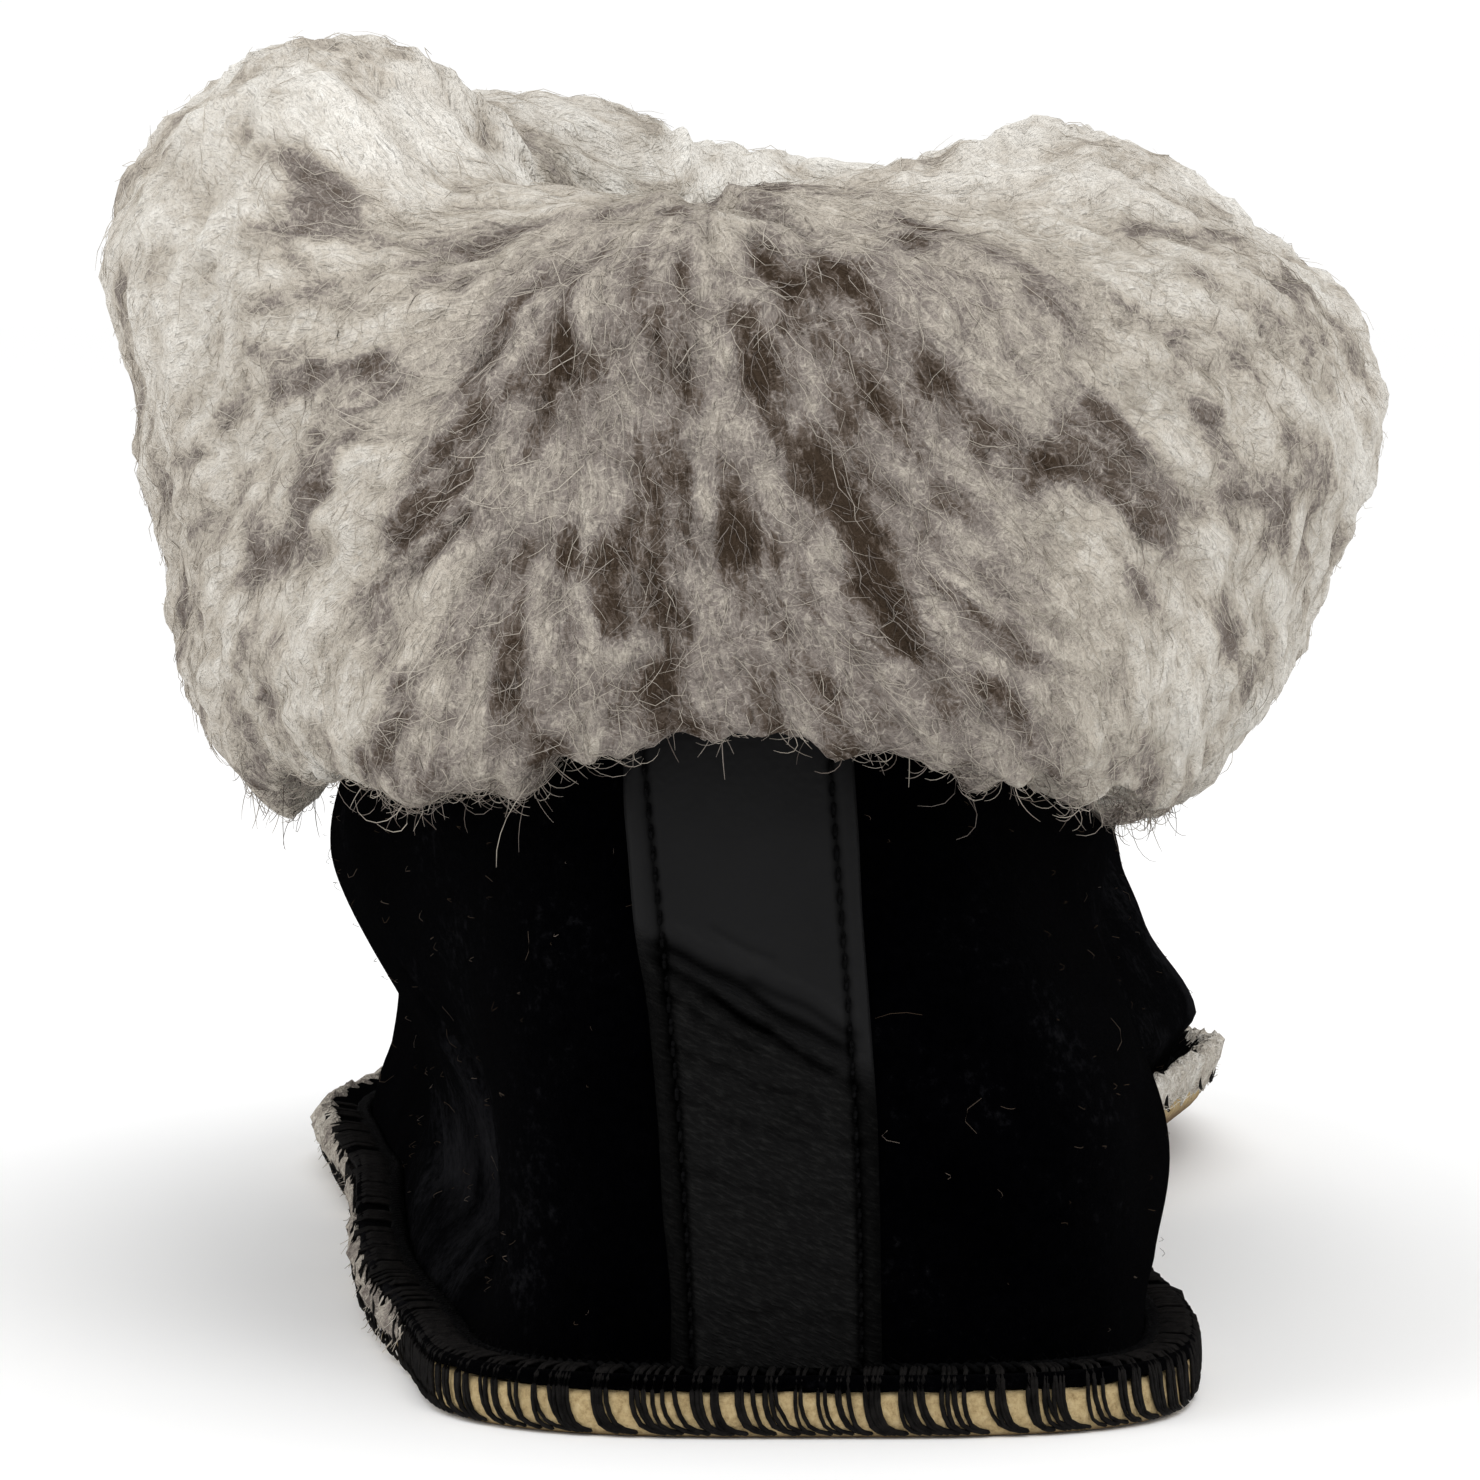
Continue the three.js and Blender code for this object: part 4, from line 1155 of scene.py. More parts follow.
# %% One skin through the sections
cuff_turns = np.arange(CUFF_COLUMNS) / CUFF_COLUMNS * TURN
sections = cuff_sections(cuff_turns)
steps = np.linalg.norm(np.diff(sections, axis=0), axis=-1).mean(axis=1)
section_at = np.concatenate([[0], np.cumsum(steps)])
cuff_along = np.linspace(0, section_at[-1], CUFF_ROWS)
cuff_skin = through(section_at, sections, cuff_along)
cuff_away = normals_of(cuff_skin, False)
if (cuff_away[60] * shaft_out(cuff_turns)).sum() < 0:
    cuff_away = -cuff_away
fold_at = section_at[len(CUFF_OUTSIDE["up"]) - 1]
print("from cut edge to fold:", fold_at.round(1), "mm, to the end inside:", section_at[-1].round(1))

# %% [markdown]
# ## How the wool lies
#
# The wool is parted at the middle of the back. From there it is brushed down and to both sides,
# more sideways the higher it is, until it lies almost level along the fold. A direction at every
# point of the skin describes that. Combing an uneven field along those directions draws it out
# into locks, just as a comb does.

# %% Directions of the wool
round_step = (np.roll(cuff_skin, -1, axis=1) - np.roll(cuff_skin, 1, axis=1)) / 2
up_step = np.gradient(cuff_skin, axis=0)
round_scale = np.linalg.norm(round_step, axis=-1)
up_scale = np.linalg.norm(up_step, axis=-1)
LIE = columns("""
along angle
0     24
25    40
50    52
68    68
80    84
96    120
125   160
""")
from_parting = np.where(cuff_turns > np.pi, cuff_turns - TURN, cuff_turns)
fan = np.tanh(from_parting / 0.32) * smooth_step(np.pi - np.abs(from_parting), -0.05, 0.5)
wander = (soft_noise(cuff_skin / 17, 21) - 0.5) * 1.1
lie = np.radians(curve(LIE, "along", "angle", cuff_along))[:, None] * fan + wander
comb_round = np.sin(lie) / round_scale
comb_up = -np.cos(lie) / up_scale

# %% Combing
def sampled(field, row, column):
    """A field on the cuff's grid at places between its points, blended from the four nearest."""
    row = np.clip(row, 0, CUFF_ROWS - 1.001)
    i = np.floor(row).astype(int)
    j = np.floor(column).astype(int)
    s = row - i
    t = column - j
    j %= CUFF_COLUMNS
    k = (j + 1) % CUFF_COLUMNS
    if field.ndim > 2:
        s = s[..., None]
        t = t[..., None]
    low = field[i, j] * (1 - t) + field[i, k] * t
    return low * (1 - s) + (field[i + 1, j] * (1 - t) + field[i + 1, k] * t) * s


def combed(field, length):
    """The field averaged along the wool's lie, this far each way, then brought to spread 1."""
    rows, places = np.meshgrid(np.arange(CUFF_ROWS), np.arange(CUFF_COLUMNS), indexing="ij")
    total = field.copy()
    stride = 0.8
    steps = int(length / stride)
    for way in (1, -1):
        row = rows.astype(float)
        column = places.astype(float)
        for _ in range(steps):
            drop = sampled(comb_up, row, column)
            shift = sampled(comb_round, row, column)
            row = row + way * stride * drop
            column = column + way * stride * shift
            total += sampled(field, row, column)
    total -= total.mean()
    return total / total.std()

# %% [markdown]
# ## Locks, tufts and the hanging edge
#
# Combed noise of three sizes gives locks, the tufts on them and small curls. Noise alone would
# make every cuff alike, so two tables then push it in and out: one where this cuff bulges or
# sinks, and one where its lower edge hangs deeper or is drawn up.

# %% Locks, tufts and curls
LOCK_SIZE = 5.5
TUFT_SIZE = 2.4
CURL_SIZE = 1.4
SINK = 1.05
locks = combed(soft_noise(cuff_skin / LOCK_SIZE, 31), 7)
tufts = combed(soft_noise(cuff_skin / TUFT_SIZE, 33), 4.5)
curls = combed(soft_noise(cuff_skin / CURL_SIZE, 35), 1.2)
patches = combed(soft_noise(cuff_skin / 2.1, 37), 4.5)
patches = patches + 0.45 * combed(soft_noise(cuff_skin / 5.0, 38), 6)
patches = patches + 0.5 * combed(soft_noise(cuff_skin / 1.2, 36), 2.4)
patches /= patches.std()
cloudy = soft_noise(cuff_skin / 26, 39) - 0.5
relief = 0.5 * np.minimum(np.abs(locks), 2) + 0.5 * np.minimum(np.abs(tufts), 2) + 0.2 * curls
ends = smooth_step(cuff_along, -1, 5) * smooth_step(section_at[-1] - cuff_along, -1, 5)

# %% Swells and hollows of the cuff
SWELLS = columns("""
turn along turnSpread alongSpread push
0    46    7          26          -1.6
-22  60    16         16           0.8
24   58    16         14           0.8
70   16    20         16          -2.4
72   34    22         14          -0.6
-78  26    20         22          -1.4
-72  86    22         11           0.3
""")
swelling = (soft_noise(cuff_skin / 15, 41) - 0.5) * 3.0
swelling = swelling + soft_spots(SWELLS, cuff_turns, "along", cuff_along[:, None])
fleece = cuff_skin + cuff_away * ((relief - SINK + swelling) * ends[:, None])[..., None]

# %% The hanging lower edge
HANGING = columns("""
turn along turnSpread alongSpread push
-64  0     3.2        9            5.0
-57  0     5          7            1.0
-34  0     7          7            2.0
-21  0     5          6            2.6
-8   0     6          6           -2.2
5    0     8          6           -1.6
20   0     5          6            1.8
29   0     5          7            2.4
42   0     7          8            2.8
54   0     9          8            2.4
72   0     9          8            0.8
-76  0     9          8            2.6
""")
lobes = combed(soft_noise(cuff_skin / 4.5, 43), 4)
hang = np.clip(lobes, -1.6, 2.2) * 1.1 * smooth_step(12 - cuff_along, 0, 10)[:, None]
fleece[..., 2] -= hang + soft_spots(HANGING, cuff_turns, "along", cuff_along[:, None])

# %% [markdown]
# ## Brown gaps in the wool
#
# The wool's tips are cream and its roots are brown, and the roots show in gaps between the locks.
# A table places the main gaps as short strokes, because the eye knows a cuff by them, and combed
# patches break them up. Each point keeps its tone, its gap and the wool's lie as attributes, so
# that the finish can draw the gap's ragged edges finer than the mesh could.

# %% Strokes of brown and cream
away = np.abs(from_parting)
near_rim = smooth_step(cuff_along, fold_at - 24, fold_at - 4)[:, None]
side = smooth_step(away, 0.12, 0.75)
BROWN = columns("""
turn along toTurn toAlong width push
-37  76    -42    71      2.8   2.1
-27  58    -36    48      2.6   1.1
-36  48    -44    40      2.8   1.6
-21  49    -27    40      2.6   0.5
-5   54    -4     47      2.2   0.8
-4   45    -8     37      2.8   0.9
-9   36    -7     29      3.0   2.0
-2   25    -6     20      2.8   1.0
2    64    3      56      2.2   1.4
11   68    15     56      2.8   1.8
7    51    9      40      2.2   1.0
9    39    11     34      2.2   0.9
1    38    4      30      2.8   1.4
9    36    11     29      2.8   1.6
6    13    9      7       2.4   0.8
42   52    46     46      2.2   1.6
29   52    36     44      2.4   1.2
34   38    38     33      2.2   0.8
49   45    52     41      2.0   1.2
20   52    24     47      2.2   0.9
36   62    42     56      3.4   0.9
-58  22    -62    18      2.2   0.9
-42  30    -46    22      2.8   0.8
-44  19    -47    14      2.4   0.8
-26  20    -31    15      2.2   0.8
-62  58    -50    60      6.0  -1.0
-12  66    -24    64      5.0  -0.8
38   72    28     76      6.0  -1.0
24   40    28     30      4.0  -1.0
14   47    18     42      3.4  -0.8
-9   54    -10    46      2.4  -1.1
-18  24    -24    20      3.4  -1.2
-9   24    -10    8       3.0  -1.3
11   23    12     10      2.8  -1.1
30   22    40     20      5.0  -0.8
""")
MM_PER_DEGREE = 0.9
brown = -0.8 * patches
for k in range(len(BROWN["turn"])):
    start = np.array([BROWN["turn"][k] * MM_PER_DEGREE, BROWN["along"][k]])
    reach = np.array([BROWN["toTurn"][k] * MM_PER_DEGREE, BROWN["toAlong"][k]]) - start
    beside = (np.degrees(from_parting) * MM_PER_DEGREE - start[0])[None]
    above = (cuff_along - start[1])[:, None]
    t = np.clip((beside * reach[0] + above * reach[1]) / (reach @ reach), 0, 1)
    far = (beside - t * reach[0]) ** 2 + (above - t * reach[1]) ** 2
    brown = brown + BROWN["push"][k] * np.exp(-far / BROWN["width"][k] ** 2)

# %% Tone of the wool at each point
inner_side = (1 + np.sin(from_parting)) / 2
under = smooth_step(14 - cuff_along, 0, 12)[:, None]
# The tone is raised at the sides, more on the inner side, as painted light that makes up for the
# shade on the cuff's form. Near the rim it is raised partly for the creamier locks and partly as
# painted light from above; towards the cut edge it is lowered partly for the greyer fuzz and partly
# as painted shade.
tone_with_painted_light = 0.40 + (0.31 + 0.05 * inner_side) * side
tone_with_painted_light = tone_with_painted_light + near_rim * (0.20 - 0.06 * side) - 0.04 * under
parting = np.clip(1.0 - np.abs(locks) * 0.9, 0, 1) * 0.05
parting = parting + np.clip(0.9 - np.abs(tufts), 0, 1) * 0.06
drop = 0.44 - 0.07 * side - 0.04 * near_rim
light_tone = tone_with_painted_light - 0.05 * np.clip(brown, -2, 2) + 0.16 * cloudy - parting + 0.02 * curls
tone = light_tone - smooth_step(brown, -0.3, 2.6) * drop
way = round_step / round_scale[..., None] * np.sin(lie)[..., None]
way = way - up_step / up_scale[..., None] * np.cos(lie)[..., None]

# %% The closed cuff
low = cuff_skin[0, :, 2] - SHAFT_HEIGHT
inside_low = cuff_skin[-1, :, 2] - SHAFT_HEIGHT
behind = -SKIN - CLEARANCE
above_top = 0 * low + CLEARANCE
closing = [
    beside_shaft(cuff_turns, height, np.full(CUFF_COLUMNS, off))
    for height, off in [
        (inside_low, behind),
        (inside_low / 2, behind),
        (above_top, behind),
        (above_top, CLEARANCE),
        (low * 0.33, CLEARANCE),
        (low * 0.66, CLEARANCE),
        (low, CLEARANCE),
    ]
]
cuff_mesh = np.concatenate([fleece, closing])
hidden = np.zeros(len(closing) * CUFF_COLUMNS)
make_piece(
    "fleece_cuff",
    cuff_mesh,
    band_faces(*cuff_mesh.shape[:2]),
    wool_base,
    stands_for=["cuff"],
    values={
        "tone": np.concatenate([light_tone.ravel(), hidden + 0.3]),
        "gap": np.concatenate([brown.ravel(), hidden]),
        "drop": np.concatenate([np.broadcast_to(drop, tone.shape).ravel(), hidden]),
        "lie_way": np.concatenate([way.reshape(-1, 3), hidden[:, None] * [0, 0, 0]]),
    },
)

# %% [markdown]
# ## Strands
#
# Over the locks lie thousands of loose strands. Each starts at a random place, follows the lie of
# the wool with a curl of its own, rises off the locks and thins out to its tip. They are built
# together as one array of thin tubes, and take their tone from the wool they stand in.

# %% Strands of wool
fleece_away = normals_of(fleece, False)
if (fleece_away * cuff_away).sum() < 0:
    fleece_away = -fleece_away

# %% A layer of strands
def strands(name, count, seed, reach, lift_off, thickness, lighter, high):
    """Loose strands rooted below a share of the section, `reach` mm long or up to twice that.

    Of two places drawn for a root the darker is taken, so that more strands cross the gaps."""
    points = 5
    cells = np.arange(count)[:, None]
    chance = [hashed(cells, seed + k) for k in range(10)]
    chance += [hashed(cells, seed + 20), hashed(cells, seed + 21)]
    rows = np.stack([chance[0], chance[10]]) * high
    columns_at = np.stack([chance[1], chance[11]]) * CUFF_COLUMNS
    tones = sampled(tone, rows * (CUFF_ROWS - 1), columns_at)
    darker = tones[0] < tones[1]
    row = np.where(darker, rows[0], rows[1]) * (CUFF_ROWS - 1)
    column = np.where(darker, columns_at[0], columns_at[1])
    length = reach * (1 + chance[2])
    turned = (chance[3] - 0.5) * 1.8
    bend = (chance[4] - 0.5) * 3.4
    crimp = 0.15 + 0.3 * chance[5]
    root_tone = sampled(tone, row, column)
    paths = []
    for k in range(points):
        share = k / (points - 1)
        off = lift_off * (share**0.7) * (0.35 + chance[6]) - 0.15
        outward = sampled(fleece_away, row, column) * off[:, None]
        paths.append(sampled(fleece, row, column) + outward)
        curled = bend * share + crimp * np.sin(9 * share + 20 * chance[7])
        angle = sampled(lie, row, column) + turned + curled
        step = length / (points - 1)
        column = column + np.sin(angle) * step / sampled(round_scale, row, column)
        row = row - np.cos(angle) * step / sampled(up_scale, row, column)
    paths = np.stack(paths, axis=1)
    shape = np.sin(np.pi * (0.12 + 0.8 * np.linspace(0, 1, points))) ** 0.6
    radii = thickness / 2 * (0.7 + 0.6 * chance[8])[:, None] * shape
    lift = 0.6 * np.clip(0.64 - root_tone, 0, 1)
    tint = np.clip(root_tone + lift + lighter - 0.03 + (chance[9] - 0.5) * 0.14, 0, 1)
    vertices, faces = tubes(paths, radii, 3)
    make_piece(name, vertices, faces, wool_hair, values={"tone": np.repeat(tint, points * 3 + 2)})


strands("fleece_strands_a", 4600, 100, 2.6, 0.4, 0.09, 0.0, 0.78)
strands("fleece_strands_b", 4600, 200, 3.2, 0.5, 0.08, 0.03, 0.74)
strands("fleece_strands_c", 3000, 300, 3.6, 0.9, 0.07, 0.05, 0.8)

# %% [markdown]
# ## The cuff's fringe
#
# At the cut edge the wool ends raggedly. Single fibres hang over the suede, bent and looped, some
# of them long.

# %% Hanging fibres
FRINGE_COUNT = 1500
FIBRE_RADIUS = 0.042

# %% Fibres off the cuff's lower edge
def fringe(name, count, seed):
    """Fibres rooted near the cut edge that fall away from it, each with a bend of its own."""
    points = 7
    cells = np.arange(count)[:, None]
    chance = [hashed(cells, seed + k) for k in range(9)]
    row = chance[0] * 9
    column = chance[1] * CUFF_COLUMNS
    turn = column / CUFF_COLUMNS * TURN
    start = sampled(fleece, row, column)
    around = stack(np.cos(turn), np.sin(turn), 0 * turn)
    outwards = shaft_out(turn)
    length = 1.6 + 2.4 * chance[2] + 6 * chance[3] ** 12
    sideways = sampled(np.sin(lie), row, column) * 0.6 + (chance[4] - 0.5) * 2.2
    bend = (chance[5] - 0.5) * 9.0
    path = [start]
    for k in range(1, points):
        angle = bend * k / points
        heading = around * (np.sin(angle) + sideways * np.cos(angle))[:, None]
        heading = heading + outwards * ((chance[6] - 0.45) * (1 - k / points) * 1.2)[:, None]
        heading[:, 2] -= np.cos(angle)
        heading /= np.linalg.norm(heading, axis=-1, keepdims=True)
        path.append(path[-1] + heading * (length / (points - 1))[:, None])
    shape = np.array([1, 1, 1, 0.9, 0.8, 0.65, 0.4])
    radii = FIBRE_RADIUS * (0.7 + 0.6 * chance[7])[:, None] * shape
    vertices, faces = tubes(np.stack(path, axis=1), radii, 3)
    tint = 0.25 + 0.35 * chance[8]
    make_piece(name, vertices, faces, wool_hair, values={"tone": np.repeat(tint, points * 3 + 2)})


fringe("fleece_fringe", FRINGE_COUNT, 400)

# %% [markdown]
# ## Inside the slipper
#
# Below the cuff's inner end the whole inside is lined with short fleece. The lining is a grid on
# the upper's own shape, which lies on its inner wall and swells out to its pile between its ends.

# %% Fleece lining
LINING_COLUMNS = 260
LINING_FROM = 0.13
LINING_TO = 0.7
lining_turns, _ = even_turns(LINING_COLUMNS)
lining_levels = np.linspace(LINING_FROM, LINING_TO, 30)[:, None]
lined = upper(lining_turns, lining_levels)
inwards = normals_of(lined, False)
if (inwards[15] * shaft_out(lining_turns)).sum() > 0:
    inwards = -inwards
lining_share = (lining_levels - LINING_FROM) / (LINING_TO - LINING_FROM)
thick = np.sin(np.pi * np.clip(lining_share, 0.03, 0.97)) ** 0.35
pile = 3.4 + 1.5 * np.abs(soft_noise(lined / 3.4, 51) - 0.5) * 2 + 1.0 * soft_noise(lined / 1.8, 52)
face = lined + inwards * (SKIN + CLEARANCE + pile * thick)[..., None]
wall_side = (lined + inwards * (SKIN + CLEARANCE))[::-1][2:-2:5]
lining = np.concatenate([face, wall_side])
lining_tone = 0.6 + 0.5 * (soft_noise(lining / 5, 53) - 0.5)
lining_tone = lining_tone + 0.3 * (soft_noise(lining / 2, 54) - 0.5)
make_piece(
    "fleece_lining",
    lining,
    band_faces(*lining.shape[:2]),
    wool_base,
    values={"tone": lining_tone.ravel()},
)

# %% [markdown]
# ## The insole
#
# The insole is a slab: its edge follows the upper's inner wall ring by ring, and its top runs in
# to a spine along the foot's axis. Short fleece gives it soft lumps.

# %% The fleece insole
FOOTBED_THICKNESS = 8
BED_COLUMNS = 300
bed_turns, _ = even_turns(BED_COLUMNS)
bed_low = SOLE_LEATHER + CLEARANCE
bed_top = bed_low + FOOTBED_THICKNESS

# %% The insole's edge
def bed_side(inset, height):
    """The insole's edge: the upper's inner wall at a height, moved inwards."""
    z = lift(along_foot(bed_turns)) + curl(bed_turns, -inset) + height
    level = np.maximum(0.01, level_at(bed_turns, z))
    wall_ring = upper(bed_turns, level)
    ahead = np.roll(wall_ring, -1, axis=0) - np.roll(wall_ring, 1, axis=0)
    side = stack(-ahead[:, 1], ahead[:, 0], 0 * ahead[:, 0])
    side /= np.linalg.norm(side, axis=-1, keepdims=True)
    return stack(*(wall_ring + side * inset)[:, :2].T, z)

# %% Rings of the insole
bed_inset = SKIN + CLEARANCE * 3
bed_rings = [
    outline_ring(bed_turns, np.full(BED_COLUMNS, -CURL_REACH), bed_low),
    bed_side(bed_inset + 1.5, bed_low),
    bed_side(bed_inset, bed_low + FOOTBED_THICKNESS * 0.4),
    bed_side(bed_inset + 0.6, bed_top - 1.4),
    bed_side(bed_inset + 3, bed_top),
]
crown = bed_side(bed_inset + 3, bed_top)
axis_along = along_foot(np.linspace(0, np.pi, 50))
axis_x = BALL_WIDTH * curve(OUTLINE, "along", "axis", axis_along)
axis_y = FOOT_LENGTH * axis_along - HEEL_CENTRE
spine_x = np.interp(crown[:, 1], axis_y, axis_x)
spine = stack(spine_x, np.clip(crown[:, 1], -18, 200), crown[:, 2])
for share in np.linspace(0.04, 0.97, 30):
    bed_rings.append(crown + (spine - crown) * share)
bed = np.stack(bed_rings)
bed_wool = np.abs(soft_noise(bed / 3.2, 61) - 0.5) * 2.4 + 0.7 * soft_noise(bed / 1.6, 62)
top_share = np.clip((np.arange(len(bed_rings)) - 3) / 3, 0, 1)
bed[..., 2] += (bed_wool - 1.0) * top_share[:, None]
# The insole's tone is set above the lining's, partly for paler fleece and partly as painted light
# against the shade inside the slipper.
bed_tone_with_painted_light = 0.66 + 0.5 * (soft_noise(bed / 5, 63) - 0.5)
bed_tone_with_painted_light = bed_tone_with_painted_light + 0.3 * (soft_noise(bed / 2, 64) - 0.5)
insole = make_piece(
    "fleece_insole",
    bed,
    slab_faces(*bed.shape[:2]),
    wool_base,
    stands_for=["footbed"],
    values={"tone": bed_tone_with_painted_light.ravel()},
)

# %% [markdown]
# ## Overlock thread
#
# The margin and the sole are oversewn together: about every two millimetres a bundle of two or
# three threads goes over the edge and round it, and its foot is swept along by the next stitch.
# Where wool shows between the two skins, fewer threads show, and they go out round the wool. One
# short table gives a thread's path in section, and all threads are built as one array of tubes.

# %% One thread's path, and where the bundles stand
BUNDLE_PITCH = 1.9
THREAD_RADIUS = 0.225
FINE_TURNS = 4000
OVER_EDGE = columns("""
out  height side
0.9  5.80   0.30
2.3  6.10   0.20
4.0  6.05   0.05
4.95 5.40   -0.12
5.22 4.40   -0.20
5.28 3.30   -0.12
5.28 2.20   0.16
5.20 1.30   0.62
5.10 0.80   1.40
4.96 0.55   2.40
""")
bundle_count = int(seam_length / BUNDLE_PITCH)
bundles = np.arange(bundle_count)[:, None]
place = (bundles[:, 0] + 0.75 * (hashed(bundles, 71) - 0.5)) / bundle_count * seam_length
fine_turns, _ = even_turns(FINE_TURNS)
fine_turns = np.concatenate([fine_turns, [TURN]])
fine_place = np.linspace(0, seam_length, FINE_TURNS + 1)

# %% How much wool shows between the skins
WOOL_FROM = 0.46
WOOL_EDGE = columns("""
along share
0.46  0.0
0.56  0.75
0.66  1.0
0.80  1.0
0.92  0.5
1.00  0.35
""")


def wool_share(at):
    """How much wool shows between the skins at a place along the seam.

    It is a band from the waist to the toe, and single tufts between the heel and the waist."""
    along = along_foot(np.interp(at, fine_place, fine_turns))
    tuft = smooth_step(soft_noise(stack(at / 2.6, 5, 0), 133), 0.5, 0.62)
    tuft = 0.7 * tuft * smooth_step(along, 0.1, 0.16)
    return np.where(along < WOOL_FROM, tuft, curve(WOOL_EDGE, "along", "share", along))

# %% Overlock threads
threads = []
spread = hashed(bundles, 70)
for strand in range(3):
    chance = [hashed(bundles, 72 + strand * 5 + k) for k in range(4)]
    beside = (strand - 1) * (0.2 + 0.3 * spread) + 0.2 * (chance[0] - 0.5)
    sweep = 0.7 + 0.6 * chance[1]
    shift = beside[:, None] + OVER_EDGE["side"] * sweep[:, None]
    shift = shift + 0.12 * np.sin(np.linspace(0, 5, shift.shape[1]) + 9 * chance[2][:, None])
    at = (place[:, None] + shift) % seam_length
    turn = np.interp(at, fine_place, fine_turns)
    out_by = OVER_EDGE["out"] + 0.12 * (chance[3][:, None] - 0.5)
    out_by = out_by + 0.75 * wool_share(at) * smooth_step(OVER_EDGE["out"], 3.6, 5.0)
    kept = wool_share(place) < 1.15 * hashed(bundles, 64 + strand)
    if strand == 1:
        kept = kept & (hashed(bundles, 69) < 0.6)
    threads.append(outline_ring(turn, out_by, OVER_EDGE["height"] + 0 * turn)[kept])
threads = np.concatenate(threads)
radii = THREAD_RADIUS * (0.8 + 0.3 * hashed(np.arange(len(threads))[:, None], 90))[:, None]
vertices, faces = tubes(threads, radii * np.ones(threads.shape[1]), 4)
make_piece("overlock_thread", vertices, faces, thread)

# %% [markdown]
# ## The braided chain
#
# On top, inside the edge, the loops of the overlock thread lock into each other. Two threads that
# swing from side to side along the seam, half a step apart, make that braid.

# %% Chain inside the edge
CHAIN_PITCH = 2.4
CHAIN_POINTS = 1700
CHAIN_RADIUS = 0.3
chain_at = np.linspace(0, seam_length, CHAIN_POINTS)
chain_turn = np.interp(chain_at, fine_place, fine_turns)
links = []
for side in (0, 1):
    phase = chain_at / CHAIN_PITCH * TURN + side * np.pi
    out_by = 0.95 + 0.6 * np.sin(phase)
    links.append(outline_ring(chain_turn, out_by, 5.75 + 0.3 * np.cos(phase)))
vertices, faces = tubes(np.stack(links), np.full((2, CHAIN_POINTS), CHAIN_RADIUS), 5)
make_piece("overlock_chain", vertices, faces, black_thread)

# %% [markdown]
# ## Wool between the skins
#
# At the forefoot the sheepskin's own wool is pressed out between the margin and the sole, as a
# pale band, and here and there a tuft of it shows along the side. It is a tube along the seam
# whose size follows the share of wool, made lumpy with soft noise and closed at both ends.

# %% Wool at the forefoot's edge
EDGE_POINTS = 1100
EDGE_SIDES = 12
LEAST_WOOL = 0.02
edge_at = np.arange(EDGE_POINTS) / EDGE_POINTS * seam_length
edge_turn = np.interp(edge_at, fine_place, fine_turns)
edge_share = wool_share(edge_at)
has_wool = edge_share > LEAST_WOOL
edge_rings = []
for angle in np.linspace(0, TURN, EDGE_SIDES + 1)[:-1]:
    lump = 0.75 + 0.7 * soft_noise(stack(edge_at / 1.5, 3 * np.cos(angle), 3 * np.sin(angle)), 131)
    out_by = 4.8 + 1.75 * lump * np.cos(angle) * edge_share
    up_by = 3.4 + 2.2 * lump * np.sin(angle) * edge_share
    edge_rings.append(outline_ring(edge_turn, out_by, up_by))
edge_rings = np.stack(edge_rings, axis=1)[has_wool]
edge_tone = 0.74 + 0.1 * np.sin(edge_turn) - 0.3 * soft_noise(stack(edge_at / 3, 0, 0), 132)
end_points = edge_rings[[0, -1]].mean(axis=1)
vertices = np.concatenate([edge_rings.reshape(-1, 3), end_points])
ring_count = len(edge_rings)
body = band_faces(ring_count, EDGE_SIDES)[: -EDGE_SIDES]
i = np.arange(EDGE_SIDES)
k = (i + 1) % EDGE_SIDES
last = (ring_count - 1) * EDGE_SIDES
first_cap = stack(k, i, len(vertices) - 2, len(vertices) - 2)
last_cap = stack(last + i, last + k, len(vertices) - 1, len(vertices) - 1)
tones = np.repeat(edge_tone[has_wool], EDGE_SIDES)
make_piece(
    "edge_wool",
    vertices,
    np.concatenate([body, first_cap, last_cap]),
    wool_base,
    values={"tone": np.concatenate([tones, [0.5, 0.5]])},
)

# %% [markdown]
# ## Loose hairs along the seam
#
# Wool hairs stand off the band at the edge, and short black fuzz clings to the margin where the
# needle has pricked it. Both are one array of thin tubes, shared out by how much wool shows.

# %% Loose hairs along the seam
HAIR_COUNT = 3000
WOOL_RADIUS = 0.05
FUZZ_RADIUS = 0.032
hairs = np.arange(HAIR_COUNT)[:, None]
chance = [hashed(hairs, 140 + k) for k in range(9)]
hair_at = chance[0] * seam_length
hair_turn = np.interp(hair_at, fine_place, fine_turns)
is_wool = wool_share(hair_at) > chance[1] * 1.1
hair_length = np.where(is_wool, 1.4 + 2.2 * chance[2], 0.6 + 1.2 * chance[2])
hair_out = np.where(is_wool, 5.3, 0.3 + 1.4 * chance[3])
hair_up = np.where(is_wool, 1.2 + 4.2 * chance[3], 5.9)
hair_paths = []
for k in range(4):
    step = k / 3 * hair_length
    turned = (chance[4] - 0.5) * 6 + (chance[5] - 0.5) * 5 * k / 3
    beside = (hair_at + np.sin(turned) * step * 0.7) % seam_length
    beside = np.interp(beside, fine_place, fine_turns)
    rise = np.where(is_wool, -0.25 - 0.5 * chance[6], 0.75 * chance[6]) * step
    reach = np.where(is_wool, 0.5 * chance[7], 0.5 * np.cos(turned)) * step
    hair_paths.append(outline_ring(beside, hair_out + reach, np.maximum(0.3, hair_up + rise)))
hair_radius = np.where(is_wool, WOOL_RADIUS, FUZZ_RADIUS) * (0.7 + 0.6 * chance[8])
hair_radius = hair_radius[:, None] * [1, 0.9, 0.8, 0.5]
vertices, faces = tubes(np.stack(hair_paths, axis=1), hair_radius, 3)
vertices = vertices.reshape(HAIR_COUNT, -1, 3)
faces = faces[: len(faces) // HAIR_COUNT]

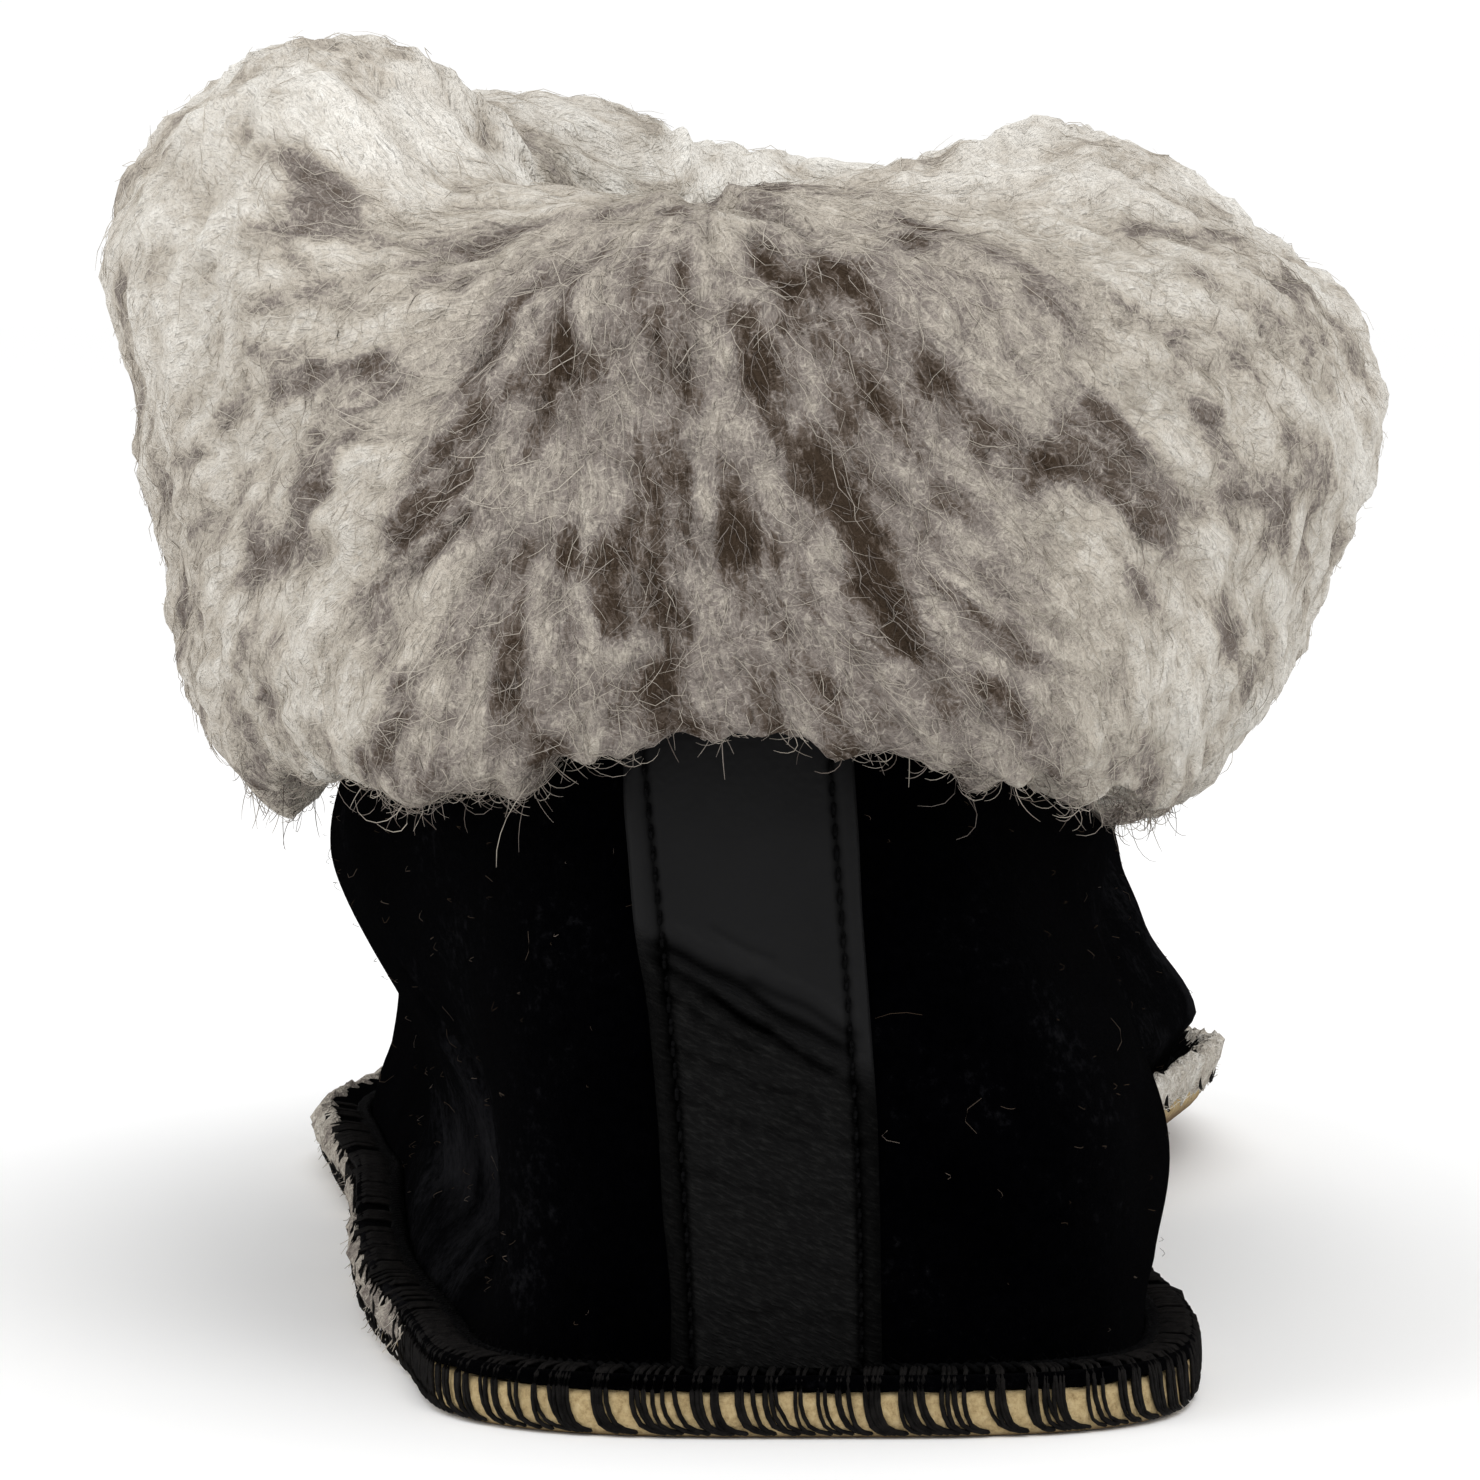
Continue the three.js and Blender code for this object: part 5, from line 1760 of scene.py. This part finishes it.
# %% Wool hairs and black fuzz as two pieces
def some_hairs(name, chosen, material, tone):
    """The chosen ones of the hairs as a piece of their own."""
    count = chosen.sum()
    shift = (np.arange(count) * vertices.shape[1])[:, None, None]
    values = {"tone": np.repeat(tone[chosen], vertices.shape[1])}
    chosen_faces = (faces[None] + shift).reshape(-1, 4)
    make_piece(name, vertices[chosen], chosen_faces, material, values=values)


wool_tone = 0.62 + 0.3 * np.sin(hair_turn) * (1 - chance[6]) + 0.1 * chance[2]
some_hairs("seam_wool", is_wool, wool_hair, wool_tone)
some_hairs("seam_fuzz", ~is_wool, black_thread, 0.2 + 0 * hair_turn)

# %% [markdown]
# ## Stitches on the strip
#
# The strip has a plain row of stitches down each side. Each stitch is a short arch of thread that
# dives into a hole at both ends, in the groove that it has pulled into the leather.

# %% Two rows of stitches
STITCH_PITCH = 1.75
STITCHED_LENGTH = 76
STITCH_RADIUS = 0.2
STITCH_POINTS = 5
stitch_levels = np.linspace(0.03, 0.885, int(STITCHED_LENGTH / STITCH_PITCH))
stitches = []
for side in (-1, 1):
    for part in np.linspace(-0.5, 0.5, STITCH_POINTS):
        level = stitch_levels + part * 0.0125
        half = (STRIP_FOOT_WIDTH + (STRIP_WIDTH - STRIP_FOOT_WIDTH) * level) / 2
        across = side * (half - STITCH_INSET)
        above = CLEARANCE * 1.5 + STRIP_LEATHER - 0.2 + 0.26 * (1 - (2 * part) ** 2)
        stitches.append(on_heel(across + 0.12 * part, level, above)[0])
rows = [np.stack(stitches[:STITCH_POINTS], axis=1), np.stack(stitches[STITCH_POINTS:], axis=1)]
stitches = np.concatenate(rows)
vertices, faces = tubes(stitches, np.full(stitches.shape[:2], STITCH_RADIUS), 5)
make_piece("strip_stitches", vertices, faces, black_thread)

# %% [markdown]
# ## Lint
#
# Black suede shows every pale fibre. A few hundred short ones cling to the nap.

# %% Lint on the suede
LINT_COUNT = 420
LINT_RADIUS = 0.026
lint = np.arange(LINT_COUNT)[:, None]
chance = [hashed(lint, 110 + k) for k in range(7)]
turn = np.interp(chance[0] * seam_length, fine_place, fine_turns)
level = 0.03 + 0.55 * chance[1]
angle = chance[2] * TURN
length = 0.25 + 0.9 * chance[3] + 3.0 * chance[3] ** 16
lint_paths = []
for k in range(4):
    step = (k / 3 - 0.5) * length
    heading = angle + (chance[4] - 0.5) * 3 * k / 3
    here = upper(turn + np.cos(heading) * step / 42, level + np.sin(heading) * step / 95)
    beyond = upper(turn + 0.02, level) - upper(turn - 0.02, level)
    outward = stack(beyond[:, 1], -beyond[:, 0], 0 * turn)
    outward /= np.linalg.norm(outward, axis=-1, keepdims=True)
    lint_paths.append(here + outward * (0.45 + 0.25 * np.sin(k * 1.4)))
radii = np.full((LINT_COUNT, 4), LINT_RADIUS) * (0.6 + 0.7 * chance[5])[:, None]
vertices, faces = tubes(np.stack(lint_paths, axis=1), radii, 3)
tint = np.repeat(0.3 * chance[6] ** 3, len(vertices) // LINT_COUNT)
make_piece("lint", vertices, faces, wool_hair, values={"tone": tint})
